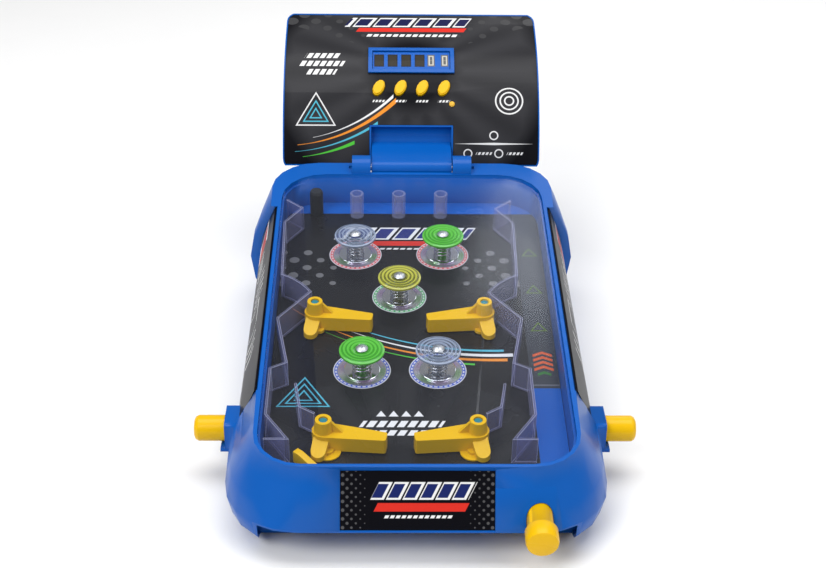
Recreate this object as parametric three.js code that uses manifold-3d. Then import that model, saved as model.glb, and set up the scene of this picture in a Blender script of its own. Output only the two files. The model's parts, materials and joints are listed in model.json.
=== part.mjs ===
// A tabletop pinball game: a sloping table under a clear cover, with sprung bumpers, four flippers
// worked by two side buttons, a spring plunger, and a folding scoreboard on a neck at the back.
// Millimetres, +Z up, player's side toward -Y. The playfield's own frame is turned by the slope:
// x to the right, y up the slope, z square to the playfield, whose top surface is z = 0.
import * as THREE from 'three';
import { mergeVertices } from 'three/addons/utils/BufferGeometryUtils.js';
import Module from 'manifold-3d';

const wasm = await Module();
wasm.setup();

// Driving dimensions of the table
const slopeAngle = THREE.MathUtils.degToRad(6.5);
const playfieldHeight = 36;
const clearance = 0.3;
const runningGap = 0.5;
const overrun = 30;
const wall = 2.5;
const bodyFront = -18.5;
const bodyBack = 341.5;
const bodyWidth = 235;
const fenderWidth = 245;
const waistWidth = 228;
const rimBackWidth = 209;
const groundGap = 1;
const railHeight = 24.2;
const railThickness = 2.4;
const cornerRadius = 46;
const backCornerRadius = 37;
const frontPartEnd = 67;
const bodyRake = 16.5;
const apronUnderside = 23;
const apronNotchHalf = 95.5;
const apronNotchDepth = 28.5;

// The fenders' slanting front edge: how far back it lies, then how high
const fenderEdge = [[300, 0], [298, 42], [291, 68], [278, 90], [272, 100]];

// Well, playfield and cover
const wellHalf = 95;
const wellFront = 3.8;
const wellBack = 325;
const wellFrontRadius = 26;
const wellBackRadius = 30;
const wellWall = 2.3;
const wellBottom = -6;
const ledgeWidth = 3.4;
const playfieldThickness = 2;
const coverHalf = 96.3;
const coverFront = 2.6;
const coverBack = 326.2;
const coverUnderside = 20.7;
const coverThickness = 1.8;
const playCentre = -9.8;

// Clear guides. Their outer line follows the well, and each place is how far in from that line, then how
// far up the slope.
const guideWall = 1.7;
const guideHeight = 19.6;
const guideGap = 0.95;
const guideOuter = wellHalf + playCentre - guideWall / 2 - guideGap;
const guideWedgeTop = 298;
const guideWedgeTip = [11.9, 287];
const guideWedgeFoot = 268;
const guideArcTop = 202;
const guideArcSag = 3.5;
const guideApex = [22.4, 181.5];
const guideApexFoot = 151.5;
const guideLowTip = [10.2, 104];
const guideLowFoot = 98;
const guideCornerTop = 53;
const guideCornerTip = [14.4, 30];
const inlaneTop = [16.8, 86];
const inlaneElbow = [20.4, 63.2];
const inlaneEnd = [30, 56.6];
const inlaneHeight = 17;

// Lane posts at the top of the playing area
const postRadius = 5;
const postBore = 3.6;
const postHeight = 19.8;
const postRow = 306.5;
const postPitch = 31.5;
const darkPostPlace = [-71.8, 310];

// Sprung bumpers
const bumperPlaces = [[-31.7, 254.3], [31.7, 254.3], [0, 202], [-25, 119.9], [25, 119.9]];
const bumperPlateRadius = 12;
const bumperPlateThickness = 0.8;
const bumperCapRadius = 15;
const bumperCapTop = 18.4;
const bumperCapRim = 2.6;
const bumperRidge = 0.7;
const bumperRidgeCount = 3;
const bumperPostRadius = 3;
const bumperSpringRadius = 6;
const bumperSpringTurns = 5;
const bumperWire = 0.9;

// Flippers
const flipperLength = 39.5;
const flipperDroop = THREE.MathUtils.degToRad(9.3);
const flipperSwing = THREE.MathUtils.degToRad(45);
const flipperLift = 1;
const flipperArmTop = 11.5;
const flipperBossTop = 19.9;
const flipperBossRadius = 5.1;
const flipperRootRadius = 7.3;
const flipperTipHalf = 4;
const flipperTipCorner = 1.5;
const flipperPostRadius = 2.5;
const flipperPostTop = 19;
const crankRadius = 8.8;
const crankAngle = THREE.MathUtils.degToRad(71.4);
const crankPinRadius = 1.3;
const crankPinBottom = -9.4;
const crankSkirtRadius = 8.2;
const crankSkirtThickness = 0.9;
const crankLugRadius = 3.6;
const crankLugTop = 3;
const bossLugOffset = 2.9;
const bossLugReach = 13.5;
const bossLugRadius = 4.6;
const bossLugHigh = 9.6;
const bossLugLow = 4.4;
const lowerFlipperInset = 35.8;
const lowerFlipperRow = 47.2;
const upperFlipperInset = 25.9;
const upperFlipperRow = 169.8;
const flipperPlaces = {
  lower: [guideOuter - lowerFlipperInset, lowerFlipperRow],
  upper: [guideOuter - upperFlipperInset, upperFlipperRow],
};

// Flipper buttons, their stems, springs and link bars
const buttonPlace = [76.3, 33];
const buttonRadius = 8.35;
const buttonTravel = 5;
const housingProud = 3.5;
const housingEnd = bodyWidth / 2 + housingProud;
const buttonProud = 20;
const buttonEnd = housingEnd + buttonProud;
const housingDepth = 24;
const housingHeight = 21;
const housingLength = 20;
const housingRoot = housingEnd - housingLength;
const lipProud = 3;
const housingLip = housingEnd + lipProud;
const stemRadius = 3.8;
const collarRadius = 5.2;
const collarThickness = 2.6;
const pocketRadius = 5.6;
const housingFace = 4;
const stemBracketGap = 11;
const stemBracketPlace = housingRoot - stemBracketGap;
const stemBracketThickness = 2;
const returnSpringRadius = 4.7;
const returnSpringTurns = 6;
const springWire = 0.8;
const linkTop = -5.4;
const linkThickness = 3.2;
const linkHalf = 5;
const linkTab = 3;
const pinSlack = 0.55;

// Plunger
const plungerPlace = 72.3;
const plungerAxis = -3.5;
const plungerKnobRadius = 10;
const plungerKnobFront = -37.2;
const plungerKnobLength = 13;
const plungerShaftHalf = 7.75;
const plungerShaftEnd = -1.5;
const plungerArch = 8.3;
const plungerBarTop = -7.2;
const plungerBarBottom = -11.6;
const plungerPull = 11;
const strikerPlace = 85.5;
const strikerHalf = 2;
const strikerBack = 12.5;
const strikerThickness = 3;
const strikerTop = 4.8;
const plungerRodRadius = 2.2;
const plungerRodEnd = 63;
const plungerRibPlace = 24;
const plungerRibThickness = 2.4;
const plungerRibHalf = 7;
const plungerTailRadius = 5.5;
const plungerSpringRadius = 4;
const plungerSpringTurns = 9;
const ballRadius = 5.5;

// Drain deflector at the left
const deflectorPlace = [-57.2, 25.5];
const deflectorLength = 19;
const deflectorWidth = 4.6;
const deflectorHeight = 9;
const deflectorLow = 5;
const deflectorTurn = THREE.MathUtils.degToRad(-41.3);

// Base plate
const baseBottom = 1;
const baseThickness = 2.4;
const baseWallTop = 23.5;
const footRadius = 9;
const footPlaces = [[-84, 26], [84, 26], [-84, 302], [84, 302]];
const bayPlace = 150;
const bayHalf = 31;
const bayDepth = 36;
const bayHeight = 20;
const cellRadius = 7.2;
const cellLength = 50.4;
const cellPitch = 15.6;
const speakerPlace = 235;
const speakerRadius = 20;
const speakerHeight = 9;
const speakerRimRadius = 17;
const magnetRadius = 9;
const magnetHeight = 5.4;
const speakerSlots = 5;
const speakerSlot = 2.4;
const speakerSlotPitch = 6;
const switchPlace = [58, 235];
const switchTravel = 4;
const switchHalf = [3, 2.4];
const switchProud = 1.2;

// Labels
const labelHalf = 45.6;
const labelLow = [-18.5, 25];
const labelHigh = [-2.6, 57];
const labelPocket = 1.4;
const labelThickness = 0.6;
const labelChannel = 0.6;
const labelMargin = 1.5;
const sideLabelThickness = 0.9;
const sideLabelLow = -32;
const sideLabelHigh = 23.2;

// Scoreboard
const hingePlace = [332, 97.7];
const hingePinRadius = 2;
const earRadius = 9.6;
const earOuter = 45.3;
const earInner = 31.2;
const barrelRadius = 6.2;
const barrelHalf = 30.6;
const headCentre = [452.7, 65.3];
const headRadius = 107;
const headDepth = 16;
const headHalf = 99.5;
const headStartAngle = 14.2;
const headEndAngle = 86;
const headCorner = 9;
const headWall = 2.2;
const headRim = 1;
const faceThickness = 2.2;
const recessRadius = 100;
const recessWall = 1.2;
const recessTopAngle = 30.5;
const neckTopAngle = 24.5;
const bezelHalf = 33.7;
const bezelStartAngle = 54.2;
const bezelEndAngle = 67.4;
const bezelProud = 1.9;
const bezelFrame = 3.2;
const displayDepth = 4.5;
const scoreButtonAngle = 47.2;
const scoreButtonPitch = 16.9;
const scoreButtonSize = [4.25, 6.9];
const scoreButtonLean = THREE.MathUtils.degToRad(-25);
const scoreButtonProud = 2.6;
const scoreButtonShoulder = 1.6;
const scoreButtonCrown = 0.8;
const scoreButtonDepth = 6.2;
const scoreButtonFlange = 0.9;
const lampOffset = 31.5;
const lampAngle = 40.2;
const lampRadius = 2.2;
const lampProud = 1.4;
const lampShoulder = 1.1;
const lampTopRadius = 0.9;
const lampDepth = 4;
const boardAngle = 55;
const boardRadius = 95.1;
const boardSize = [38, 17.5, 1.6];

// Facets per round
const roundSides = 24;
const smallSides = 12;
const cornerSteps = 5;
const coilSteps = 8;
const coilSides = 5;

// Solids

function solidOf(geometry) {
  const bare = geometry.clone();
  bare.deleteAttribute('normal');
  bare.deleteAttribute('uv');
  const merged = mergeVertices(bare);
  return new wasm.Manifold(new wasm.Mesh({
    numProp: 3,
    vertProperties: new Float32Array(merged.attributes.position.array),
    triVerts: new Uint32Array(merged.index.array),
  }));
}

function geometryOf(solid) {
  const mesh = solid.getMesh();
  const geometry = new THREE.BufferGeometry();
  geometry.setAttribute('position', new THREE.BufferAttribute(new Float32Array(mesh.vertProperties), 3));
  geometry.setIndex(new THREE.BufferAttribute(new Uint32Array(mesh.triVerts), 1));
  return geometry;
}

const join = (first, ...rest) => rest.reduce((sum, next) => sum.add(next), first);
const cut = (first, ...rest) => rest.reduce((sum, next) => sum.subtract(next), first);
const common = (first, ...rest) => rest.reduce((sum, next) => sum.intersect(next), first);

function placed(solid, matrix) {
  return solidOf(geometryOf(solid).applyMatrix4(matrix));
}

function block(x0, x1, y0, y1, z0, z1) {
  const geometry = new THREE.BoxGeometry(x1 - x0, y1 - y0, z1 - z0);
  geometry.translate((x0 + x1) / 2, (y0 + y1) / 2, (z0 + z1) / 2);
  return solidOf(geometry);
}

function prism(outline, z0, z1) {
  const shape = outline instanceof THREE.Shape ? outline : new THREE.Shape(outline);
  const geometry = new THREE.ExtrudeGeometry(shape, { depth: z1 - z0, bevelEnabled: false, curveSegments: 8 });
  geometry.translate(0, 0, z0);
  return solidOf(geometry);
}

// A prism along X: the outline's x and y become Y and Z
function prismAlongX(outline, x0, x1) {
  const turn = new THREE.Matrix4().makeBasis(
    new THREE.Vector3(0, 1, 0), new THREE.Vector3(0, 0, 1), new THREE.Vector3(1, 0, 0));
  return placed(prism(outline, x0, x1), turn);
}

// A prism along Y: the outline's x and y become X and Z
function prismAlongY(outline, y0, y1) {
  const turn = new THREE.Matrix4().makeBasis(
    new THREE.Vector3(1, 0, 0), new THREE.Vector3(0, 0, 1), new THREE.Vector3(0, -1, 0));
  return placed(prism(outline, -y1, -y0), turn);
}

function turned(profile, sides = roundSides) {
  const geometry = new THREE.LatheGeometry(profile.map(([r, z]) => new THREE.Vector2(r, z)), sides);
  geometry.rotateX(Math.PI / 2);
  return solidOf(geometry);
}

function disc(x, y, radius, z0, z1, sides = roundSides) {
  const geometry = new THREE.CylinderGeometry(radius, radius, z1 - z0, sides);
  geometry.rotateX(Math.PI / 2);
  geometry.translate(x, y, (z0 + z1) / 2);
  return solidOf(geometry);
}

function rodAlongX(y, z, radius, x0, x1, sides = roundSides) {
  const geometry = new THREE.CylinderGeometry(radius, radius, x1 - x0, sides);
  geometry.rotateZ(Math.PI / 2);
  geometry.translate((x0 + x1) / 2, y, z);
  return solidOf(geometry);
}

function rodAlongY(x, z, radius, y0, y1, sides = roundSides) {
  const geometry = new THREE.CylinderGeometry(radius, radius, y1 - y0, sides);
  geometry.translate(x, (y0 + y1) / 2, z);
  return solidOf(geometry);
}

function arcPoints(x, y, radius, start, end, steps) {
  return Array.from({ length: steps + 1 }, (_, i) => {
    const angle = start + (end - start) * i / steps;
    return new THREE.Vector2(x + radius * Math.cos(angle), y + radius * Math.sin(angle));
  });
}

// A rectangle with round corners: front radius at the low y side, back radius at the high one
function roundedOutline(x0, x1, y0, y1, front, back = front, steps = cornerSteps) {
  const quarter = Math.PI / 2;
  return [
    ...arcPoints(x1 - front, y0 + front, front, -quarter, 0, steps),
    ...arcPoints(x1 - back, y1 - back, back, 0, quarter, steps),
    ...arcPoints(x0 + back, y1 - back, back, quarter, 2 * quarter, steps),
    ...arcPoints(x0 + front, y0 + front, front, 2 * quarter, 3 * quarter, steps),
  ];
}

// The outline round two circles, such as a flipper's or a lug's
function capsuleOutline(ax, ay, ra, bx, by, rb, steps = 8) {
  const along = Math.atan2(by - ay, bx - ax);
  const lean = Math.acos((ra - rb) / Math.hypot(bx - ax, by - ay));
  return [
    ...arcPoints(ax, ay, ra, along + lean, along + 2 * Math.PI - lean, steps),
    ...arcPoints(bx, by, rb, along - lean, along + lean, steps),
  ];
}

// A flipper's outline: round at its root, square with eased corners at its tip
function paddleOutline(x, y, root, reach, tipHalf, corner, turn, steps = 8) {
  const [tipX, tipY] = [reach - corner, tipHalf - corner];
  const lean = Math.acos((root - corner) / Math.hypot(tipX, tipY)) + Math.atan2(tipY, tipX);
  return [
    ...arcPoints(0, 0, root, lean, 2 * Math.PI - lean, steps),
    ...arcPoints(tipX, -tipY, corner, -lean, 0, steps / 2),
    ...arcPoints(tipX, tipY, corner, 0, lean, steps / 2),
  ].map((p) => p.rotateAround(new THREE.Vector2(), turn).add(new THREE.Vector2(x, y)));
}

// A wall of even thickness along a path of points, with mitred corners
function ribbonOutline(path, thickness) {
  const side = (sign) => path.map((point, i) => {
    const before = path[Math.max(i - 1, 0)];
    const after = path[Math.min(i + 1, path.length - 1)];
    const a = new THREE.Vector2().subVectors(point, before);
    const b = new THREE.Vector2().subVectors(after, point);
    const first = a.length() > 0 ? a.normalize() : b.clone().normalize();
    const second = b.length() > 0 ? b.normalize() : first.clone();
    const mitre = first.clone().add(second).normalize();
    const reach = sign * thickness / 2 / mitre.dot(first);
    return new THREE.Vector2(point.x - mitre.y * reach, point.y + mitre.x * reach);
  });
  return [...side(1), ...side(-1).reverse()];
}

// A closed skin over rings of equally many points, closed by a fan at each end
function loft(rings) {
  const count = rings[0].length;
  const points = rings.flat();
  const faces = [];
  for (let ring = 0; ring < rings.length - 1; ring++) {
    for (let i = 0; i < count; i++) {
      const a = ring * count + i;
      const b = ring * count + (i + 1) % count;
      faces.push(a, b, b + count, a, b + count, a + count);
    }
  }
  const last = (rings.length - 1) * count;
  for (let i = 1; i < count - 1; i++) {
    faces.push(0, i + 1, i);
    faces.push(last, last + i, last + i + 1);
  }
  const geometry = new THREE.BufferGeometry().setFromPoints(points);
  geometry.setIndex(faces);
  return solidOf(geometry);
}

// A coil spring along Z from z0 to z1, its ends straight and square to their seats
let leastCoilGap = Infinity;
function coil(radius, wire, turns, z0, z1) {
  const tube = wire / 2;
  const steps = turns * coilSteps;
  const low = z0 + wire;
  const high = z1 - wire;
  const centres = Array.from({ length: steps + 1 }, (_, i) => {
    const angle = 2 * Math.PI * i / coilSteps;
    const rise = low + tube + (high - low - wire) * i / steps;
    return new THREE.Vector3(radius * Math.cos(angle), radius * Math.sin(angle), rise);
  });
  centres.unshift(new THREE.Vector3(radius, 0, z0));
  centres.push(new THREE.Vector3(centres.at(-1).x, centres.at(-1).y, z1));
  const rings = centres.map((centre, i) => {
    const end = i === 0 || i === centres.length - 1;
    const ahead = centres[Math.min(i + 1, centres.length - 1)];
    const behind = centres[Math.max(i - 1, 0)];
    const along = end ? new THREE.Vector3(0, 0, 1) : ahead.clone().sub(behind).normalize();
    const outward = new THREE.Vector3(centre.x, centre.y, 0).normalize();
    outward.addScaledVector(along, -outward.dot(along)).normalize();
    const across = along.clone().cross(outward);
    return Array.from({ length: coilSides }, (_, k) => {
      const turn = 2 * Math.PI * k / coilSides;
      return centre.clone().addScaledVector(outward, tube * Math.cos(turn))
        .addScaledVector(across, tube * Math.sin(turn));
    });
  });
  for (let i = 1; i + coilSteps < rings.length - 1; i++) {
    for (const a of rings[i]) {
      for (const b of rings[i + coilSteps]) leastCoilGap = Math.min(leastCoilGap, a.distanceTo(b));
    }
  }
  return loft(rings);
}

// The table's frames

const slope = new THREE.Matrix4().makeRotationX(slopeAngle).setPosition(0, 0, playfieldHeight);
const onSlope = (solid) => placed(solid, slope);

// The rim lies level with the top of the rail, and its front is the rail's own
const rimHalf = coverHalf + clearance + railThickness;
const rimCorner = wellFrontRadius + rimHalf - wellHalf;
const rimBackCorner = wellBackRadius + rimHalf - wellHalf;
const rimFront = (coverFront - clearance - railThickness) * Math.cos(slopeAngle) - railHeight * Math.sin(slopeAngle);
const frontHeight = playfieldHeight + railHeight / Math.cos(slopeAngle);
const backHeight = frontHeight + bodyBack * Math.tan(slopeAngle);

// Moulded body: level at the foot, sloping at the rim. Each section's shares are how high it lies, how much
// of the bulge it has, and how far its front and back faces fall short of the furthest ones.
const sectionShares = [
  { rise: 0, bulge: 0.19, front: 0.91, back: 0.9 },
  { rise: 0.07, bulge: 0.52, front: 0.52, back: 0.6 },
  { rise: 0.2, bulge: 0.84, front: 0.18, back: 0.3 },
  { rise: 0.41, bulge: 1, front: 0, back: 0.1 },
  { rise: 0.61, bulge: 0.81, front: 0.36, back: 0 },
  { rise: 0.79, bulge: 0.45, front: 0.7, back: 0 },
  { rise: 0.94, bulge: 0.13, front: 0.96, back: 0.05 },
  { rise: 1, bulge: 0, front: (rimFront - bodyFront) / bodyRake, back: 0.2 },
];

// Each form's half widths: at the bulge in front, at the bulge behind, and at the rim behind
const wideForm = [bodyWidth / 2, fenderWidth / 2, rimBackWidth / 2];
const waistForm = [waistWidth / 2, waistWidth / 2, rimHalf];

function sectionOutline(share, [frontHalf, backHalf, rimBackHalf], inset) {
  const front = rimCorner + (cornerRadius - rimCorner) * share.bulge - inset;
  const back = rimBackCorner + (backCornerRadius - rimBackCorner) * share.bulge - inset;
  const quarter = Math.PI / 2;
  const half = rimHalf + (frontHalf - rimHalf) * share.bulge - inset;
  const halfBack = rimBackHalf + (backHalf - rimBackHalf) * share.bulge - inset;
  const y0 = bodyFront + bodyRake * share.front + inset;
  const y1 = bodyBack - bodyRake * share.back - inset;
  return [
    ...arcPoints(half - front, y0 + front, front, -quarter, 0, cornerSteps),
    ...arcPoints(halfBack - back, y1 - back, back, 0, quarter, cornerSteps),
    ...arcPoints(back - halfBack, y1 - back, back, quarter, 2 * quarter, cornerSteps),
    ...arcPoints(front - half, y0 + front, front, 2 * quarter, 3 * quarter, cornerSteps),
  ];
}

function bodyLoft(halves, inset) {
  const foot = groundGap - inset / 8;
  return loft(sectionShares.map((share) => {
    const zFront = foot + (frontHeight - inset - foot) * share.rise;
    const zBack = foot + (backHeight - inset - foot) * share.rise;
    return sectionOutline(share, halves, inset)
      .map((p) => new THREE.Vector3(p.x, p.y, zFront + (zBack - zFront) * p.y / bodyBack));
  }));
}

// The room in front of the apron's end and the room behind the fenders' edge, each moved back by a shift
const apronRoom = (shift) => block(-fenderWidth, fenderWidth, bodyFront - overrun, frontPartEnd + shift,
  -overrun, bodyBack);

function fenderRoom(shift) {
  const edge = fenderEdge.map(([y, z]) => new THREE.Vector2(y + shift, z));
  const far = bodyBack + overrun;
  return prismAlongX([new THREE.Vector2(edge[0].x, -overrun), ...edge, new THREE.Vector2(edge.at(-1).x, far),
    new THREE.Vector2(far, far), new THREE.Vector2(far, -overrun)], -fenderWidth, fenderWidth);
}

// A form with the body's waist, its wider front apron and its wider rear fenders
function waisted(form, inset) {
  const wide = form(wideForm);
  return join(form(waistForm), common(wide, apronRoom(-inset)), common(wide, fenderRoom(inset)));
}

const bodySolid = (inset) => waisted((halves) => bodyLoft(halves, inset), inset);
const bodyFoot = (inset, z0, z1) => waisted(
  (halves) => prism(sectionOutline(sectionShares[0], halves, inset), z0, z1), inset);

const wellOutline = (inset) => roundedOutline(inset - wellHalf, wellHalf - inset, wellFront + inset,
  wellBack - inset, wellFrontRadius - inset, wellBackRadius - inset);
const coverOutline = (inset) => roundedOutline(inset - coverHalf, coverHalf - inset, coverFront + inset,
  coverBack - inset, wellFrontRadius + coverHalf - wellHalf - inset,
  wellBackRadius + coverHalf - wellHalf - inset);

// The front label's own frame: x across, y up the face, z out of it
const labelRise = Math.atan2(labelHigh[1] - labelLow[1], labelHigh[0] - labelLow[0]);
const labelLength = Math.hypot(labelHigh[0] - labelLow[0], labelHigh[1] - labelLow[1]);
const labelFrame = new THREE.Matrix4().makeRotationX(labelRise).setPosition(
  0, (labelLow[0] + labelHigh[0]) / 2, (labelLow[1] + labelHigh[1]) / 2);

function shellHousing(side) {
  const [y, z] = buttonPlace;
  const outline = roundedOutline(y - housingDepth / 2, y + housingDepth / 2, z - housingHeight / 2,
    z + housingHeight / 2, buttonRadius / 3);
  const lipOutline = roundedOutline(y - housingDepth / 2, y + housingDepth / 2, z - housingHeight / 2,
    z - housingHeight / 2 + wall, wall / 3);
  const ends = (a, b) => (side > 0 ? [a, b] : [-b, -a]);
  const housing = join(prismAlongX(outline, ...ends(housingRoot, housingEnd)),
    prismAlongX(lipOutline, ...ends(housingEnd - wall, housingLip)));
  return housing;
}

// The spring's pocket, the stem's bore and the knob's room, cut through the housing and the wall behind it
function housingBore(side) {
  const ends = (a, b) => (side > 0 ? [a, b] : [-b, -a]);
  return join(rodAlongX(...buttonPlace, pocketRadius, ...ends(stemBracketPlace, knobSeat - housingFace)),
    rodAlongX(...buttonPlace, stemRadius + runningGap, ...ends(stemBracketPlace, housingEnd)),
    rodAlongX(...buttonPlace, buttonRadius + runningGap, ...ends(knobSeat, housingLip + overrun)));
}

// Where the knob's inner face ends when the button is pressed home
const knobSeat = housingEnd - buttonTravel;

function ear(side) {
  const [y, z] = hingePlace;
  const outline = capsuleOutline(y, z, earRadius, y, z - earRadius - wall, earRadius);
  const [x0, x1] = side > 0 ? [earInner, earOuter] : [-earOuter, -earInner];
  return prismAlongX(outline, x0, x1);
}

// The pocket between the ears, where the scoreboard's barrel and neck turn
function neckPocket() {
  const [y, z] = hingePlace;
  const radius = barrelRadius + 2 * runningGap;
  const floor = z - barrelRadius - 2 * runningGap;
  const outline = [[y - radius, z], [y, floor], [y + 2 * radius, floor - wall], [y + 4 * radius, floor - wall],
    [y + 4 * radius, z + overrun], [y - radius, z + overrun]].map(([a, b]) => new THREE.Vector2(a, b));
  return join(rodAlongX(y, z, radius, -earInner, earInner), prismAlongX(outline, -earInner, earInner));
}

function plungerSlot() {
  const top = rodAlongY(plungerPlace, plungerAxis, plungerArch, bodyFront - overrun, wellFront - wellWall - runningGap);
  const below = block(plungerPlace - plungerArch, plungerPlace + plungerArch, bodyFront - overrun,
    wellFront - wellWall - runningGap, -2 * overrun, plungerAxis);
  const notch = block(strikerPlace - strikerHalf - runningGap, strikerPlace + strikerHalf + runningGap,
    strikerBack - strikerThickness - plungerPull - runningGap, strikerBack + runningGap,
    plungerBarBottom - runningGap, strikerTop + runningGap);
  return onSlope(join(top, below, notch));
}

function topShell() {
  const outer = bodySolid(0);
  const skin = cut(outer, bodySolid(wall));
  const wellBlock = common(outer, onSlope(prism(wellOutline(-wellWall), wellBottom, railHeight + overrun)));
  const [y, z] = hingePlace;
  const pocketLining = common(outer, block(-earInner - wall, earInner + wall, y - earRadius - wall,
    bodyBack + wall, z - 2 * earRadius - wall, z + earRadius));
  const moulding = join(skin, wellBlock, pocketLining, ear(1), ear(-1), shellHousing(1), shellHousing(-1));
  const labelRoom = (margin, depth) => placed(block(-labelHalf - clearance, labelHalf + clearance,
    -labelLength / 2 - margin, labelLength / 2 + margin, -depth, overrun), labelFrame);
  return cut(moulding, labelRoom(0, labelPocket), labelRoom(labelMargin, labelChannel),
    onSlope(prism(wellOutline(0), -playfieldThickness - clearance, 2 * overrun)),
    onSlope(prism(wellOutline(ledgeWidth), wellBottom - wall, railHeight)),
    onSlope(prism(coverOutline(-clearance), coverUnderside - clearance, 2 * overrun)),
    block(-apronNotchHalf, apronNotchHalf, bodyFront - overrun, bodyFront + apronNotchDepth, -overrun, apronUnderside),
    plungerSlot(), neckPocket(),
    rodAlongX(y, z, hingePinRadius + clearance, -earOuter - wall, earOuter + wall, smallSides),
    housingBore(1), housingBore(-1));
}

function frontLabel() {
  return placed(block(-labelHalf, labelHalf, clearance - labelLength / 2, labelLength / 2 - clearance,
    clearance - labelPocket, clearance - labelPocket + labelThickness), labelFrame);
}

// A label round the waist, between the apron, the fender and the button's housing
function sideLabel(side) {
  const skin = cut(bodyLoft(waistForm, -clearance - sideLabelThickness), bodyLoft(waistForm, -clearance));
  const [x0, x1] = side > 0 ? [rimHalf / 2, fenderWidth] : [-fenderWidth, -rimHalf / 2];
  const [y, z] = buttonPlace;
  const margin = 2 * clearance;
  const housingRoom = block(-fenderWidth, fenderWidth, bodyFront, y + housingDepth / 2 + margin, -overrun,
    z + housingHeight / 2 + margin);
  return cut(common(skin, onSlope(block(x0, x1, 0, bodyBack, sideLabelLow, sideLabelHigh))),
    apronRoom(clearance), fenderRoom(-clearance), housingRoom);
}

const clearCover = () => prism(coverOutline(0), coverUnderside, coverUnderside + coverThickness);

// Playfield pieces. Places are measured sideways from the playing area's centre line, outward positive.
const across = (side, reach) => playCentre + side * reach;

function crankPlace(side, level) {
  const [reach, y] = flipperPlaces[level];
  return [across(side, reach - crankRadius * Math.cos(crankAngle)), y - crankRadius * Math.sin(crankAngle)];
}

// The slot in the playfield that a flipper's crank pin swings through
function crankSlot(side, level) {
  const [reach, y] = flipperPlaces[level];
  const half = crankPinRadius + pinSlack;
  const start = side > 0 ? Math.PI + crankAngle : -crankAngle;
  const end = start - side * flipperSwing;
  const steps = Math.round(smallSides / 2);
  const centre = [across(side, reach), y];
  return join(...arcPoints(...centre, crankRadius, start, end, steps)
    .map((p) => disc(p.x, p.y, half, -2 * playfieldThickness, playfieldThickness, smallSides)));
}

function playfield() {
  const plate = prism(wellOutline(clearance), -playfieldThickness, 0);
  const posts = [];
  const slots = [];
  for (const side of [-1, 1]) {
    for (const level of ['lower', 'upper']) {
      const [reach, y] = flipperPlaces[level];
      posts.push(disc(across(side, reach), y, flipperPostRadius, -playfieldThickness / 2, flipperPostTop, smallSides));
      slots.push(crankSlot(side, level));
    }
  }
  const rod = plungerRodRadius + runningGap;
  const rodHeight = (plungerBarTop + plungerBarBottom) / 2;
  const rib = cut(block(plungerPlace - plungerRibHalf, plungerPlace + plungerRibHalf, plungerRibPlace,
    plungerRibPlace + plungerRibThickness, plungerBarBottom - plungerRodRadius, -playfieldThickness / 2),
  rodAlongY(plungerPlace, rodHeight, rod, 0, plungerRodEnd, smallSides),
  block(plungerPlace - rod, plungerPlace + rod, 0, plungerRodEnd, plungerBarBottom - overrun, rodHeight));
  const strikerSlot = block(strikerPlace - strikerHalf - runningGap, strikerPlace + strikerHalf + runningGap,
    0, strikerBack + runningGap, -2 * playfieldThickness, playfieldThickness);
  return cut(join(plate, ...posts, rib), ...slots, strikerSlot);
}

const guidePoint = (side, [inset, y]) => new THREE.Vector2(across(side, guideOuter - inset), y);

function sideGuide(side) {
  const points = (list) => list.map((place) => guidePoint(side, place));
  const bow = new THREE.QuadraticBezierCurve(
    ...points([[guideWall, guideArcTop],
      [guideApex[0] / 2 + guideArcSag, (guideArcTop + guideApex[1]) / 2 + guideArcSag], guideApex]));
  const path = [
    ...points([[0, guideWedgeTop], guideWedgeTip, [0, guideWedgeFoot]]),
    ...bow.getPoints(5),
    ...points([[guideWall, guideApexFoot], guideLowTip, [0, guideLowFoot],
      [0, guideCornerTop], guideCornerTip, [0, guideCornerTip[1]]]),
  ];
  return prism(ribbonOutline(path, guideWall), clearance, guideHeight);
}

function inlaneGuide(side) {
  const path = [inlaneTop, inlaneElbow, inlaneEnd].map((place) => guidePoint(side, place));
  return prism(ribbonOutline(path, guideWall), clearance, inlaneHeight);
}

function lanePost(x) {
  return cut(disc(x, postRow, postRadius, clearance, postHeight),
    disc(x, postRow, postBore, clearance + 2 * guideWall, postHeight + overrun, smallSides));
}

function darkPost() {
  const [x, y] = darkPostPlace;
  return placed(turned([[0, clearance], [postRadius, clearance], [postRadius, postHeight - guideWall],
    [postRadius - guideWall / 2, postHeight], [0, postHeight]]), new THREE.Matrix4().makeTranslation(x, y, 0));
}

const bumperSeat = clearance + bumperPlateThickness;
const bumperCapUnder = bumperCapTop - bumperCapRim - bumperRidge;

function bumperPlate() {
  return turned([[0, clearance], [bumperPlateRadius, clearance], [bumperPlateRadius, bumperSeat - clearance / 2],
    [bumperPlateRadius - clearance, bumperSeat], [0, bumperSeat]]);
}

function bumperCap() {
  const crown = bumperCapTop - bumperRidge;
  const rim = bumperCapRadius - bumperCapRim / 2;
  const pitch = (rim - bumperPostRadius) / (bumperRidgeCount + 1);
  const ridges = Array.from({ length: bumperRidgeCount }, (_, i) => {
    const r = rim - pitch * (i + 1 / 2);
    return [[r, bumperCapTop], [r - pitch / 2, crown]];
  }).flat();
  return turned([[0, bumperSeat + clearance], [bumperPostRadius, bumperSeat + clearance],
    [bumperPostRadius, bumperCapUnder], [rim, bumperCapUnder], [bumperCapRadius, bumperCapUnder + bumperRidge],
    [bumperCapRadius, crown - bumperRidge], [rim, crown], ...ridges, [bumperPostRadius, crown],
    [bumperPostRadius - bumperRidge / 2, bumperCapTop], [0, bumperCapTop]]);
}

const bumperSpring = () => coil(bumperSpringRadius, bumperWire, bumperSpringTurns,
  bumperSeat + clearance, bumperCapUnder - clearance);

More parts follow.
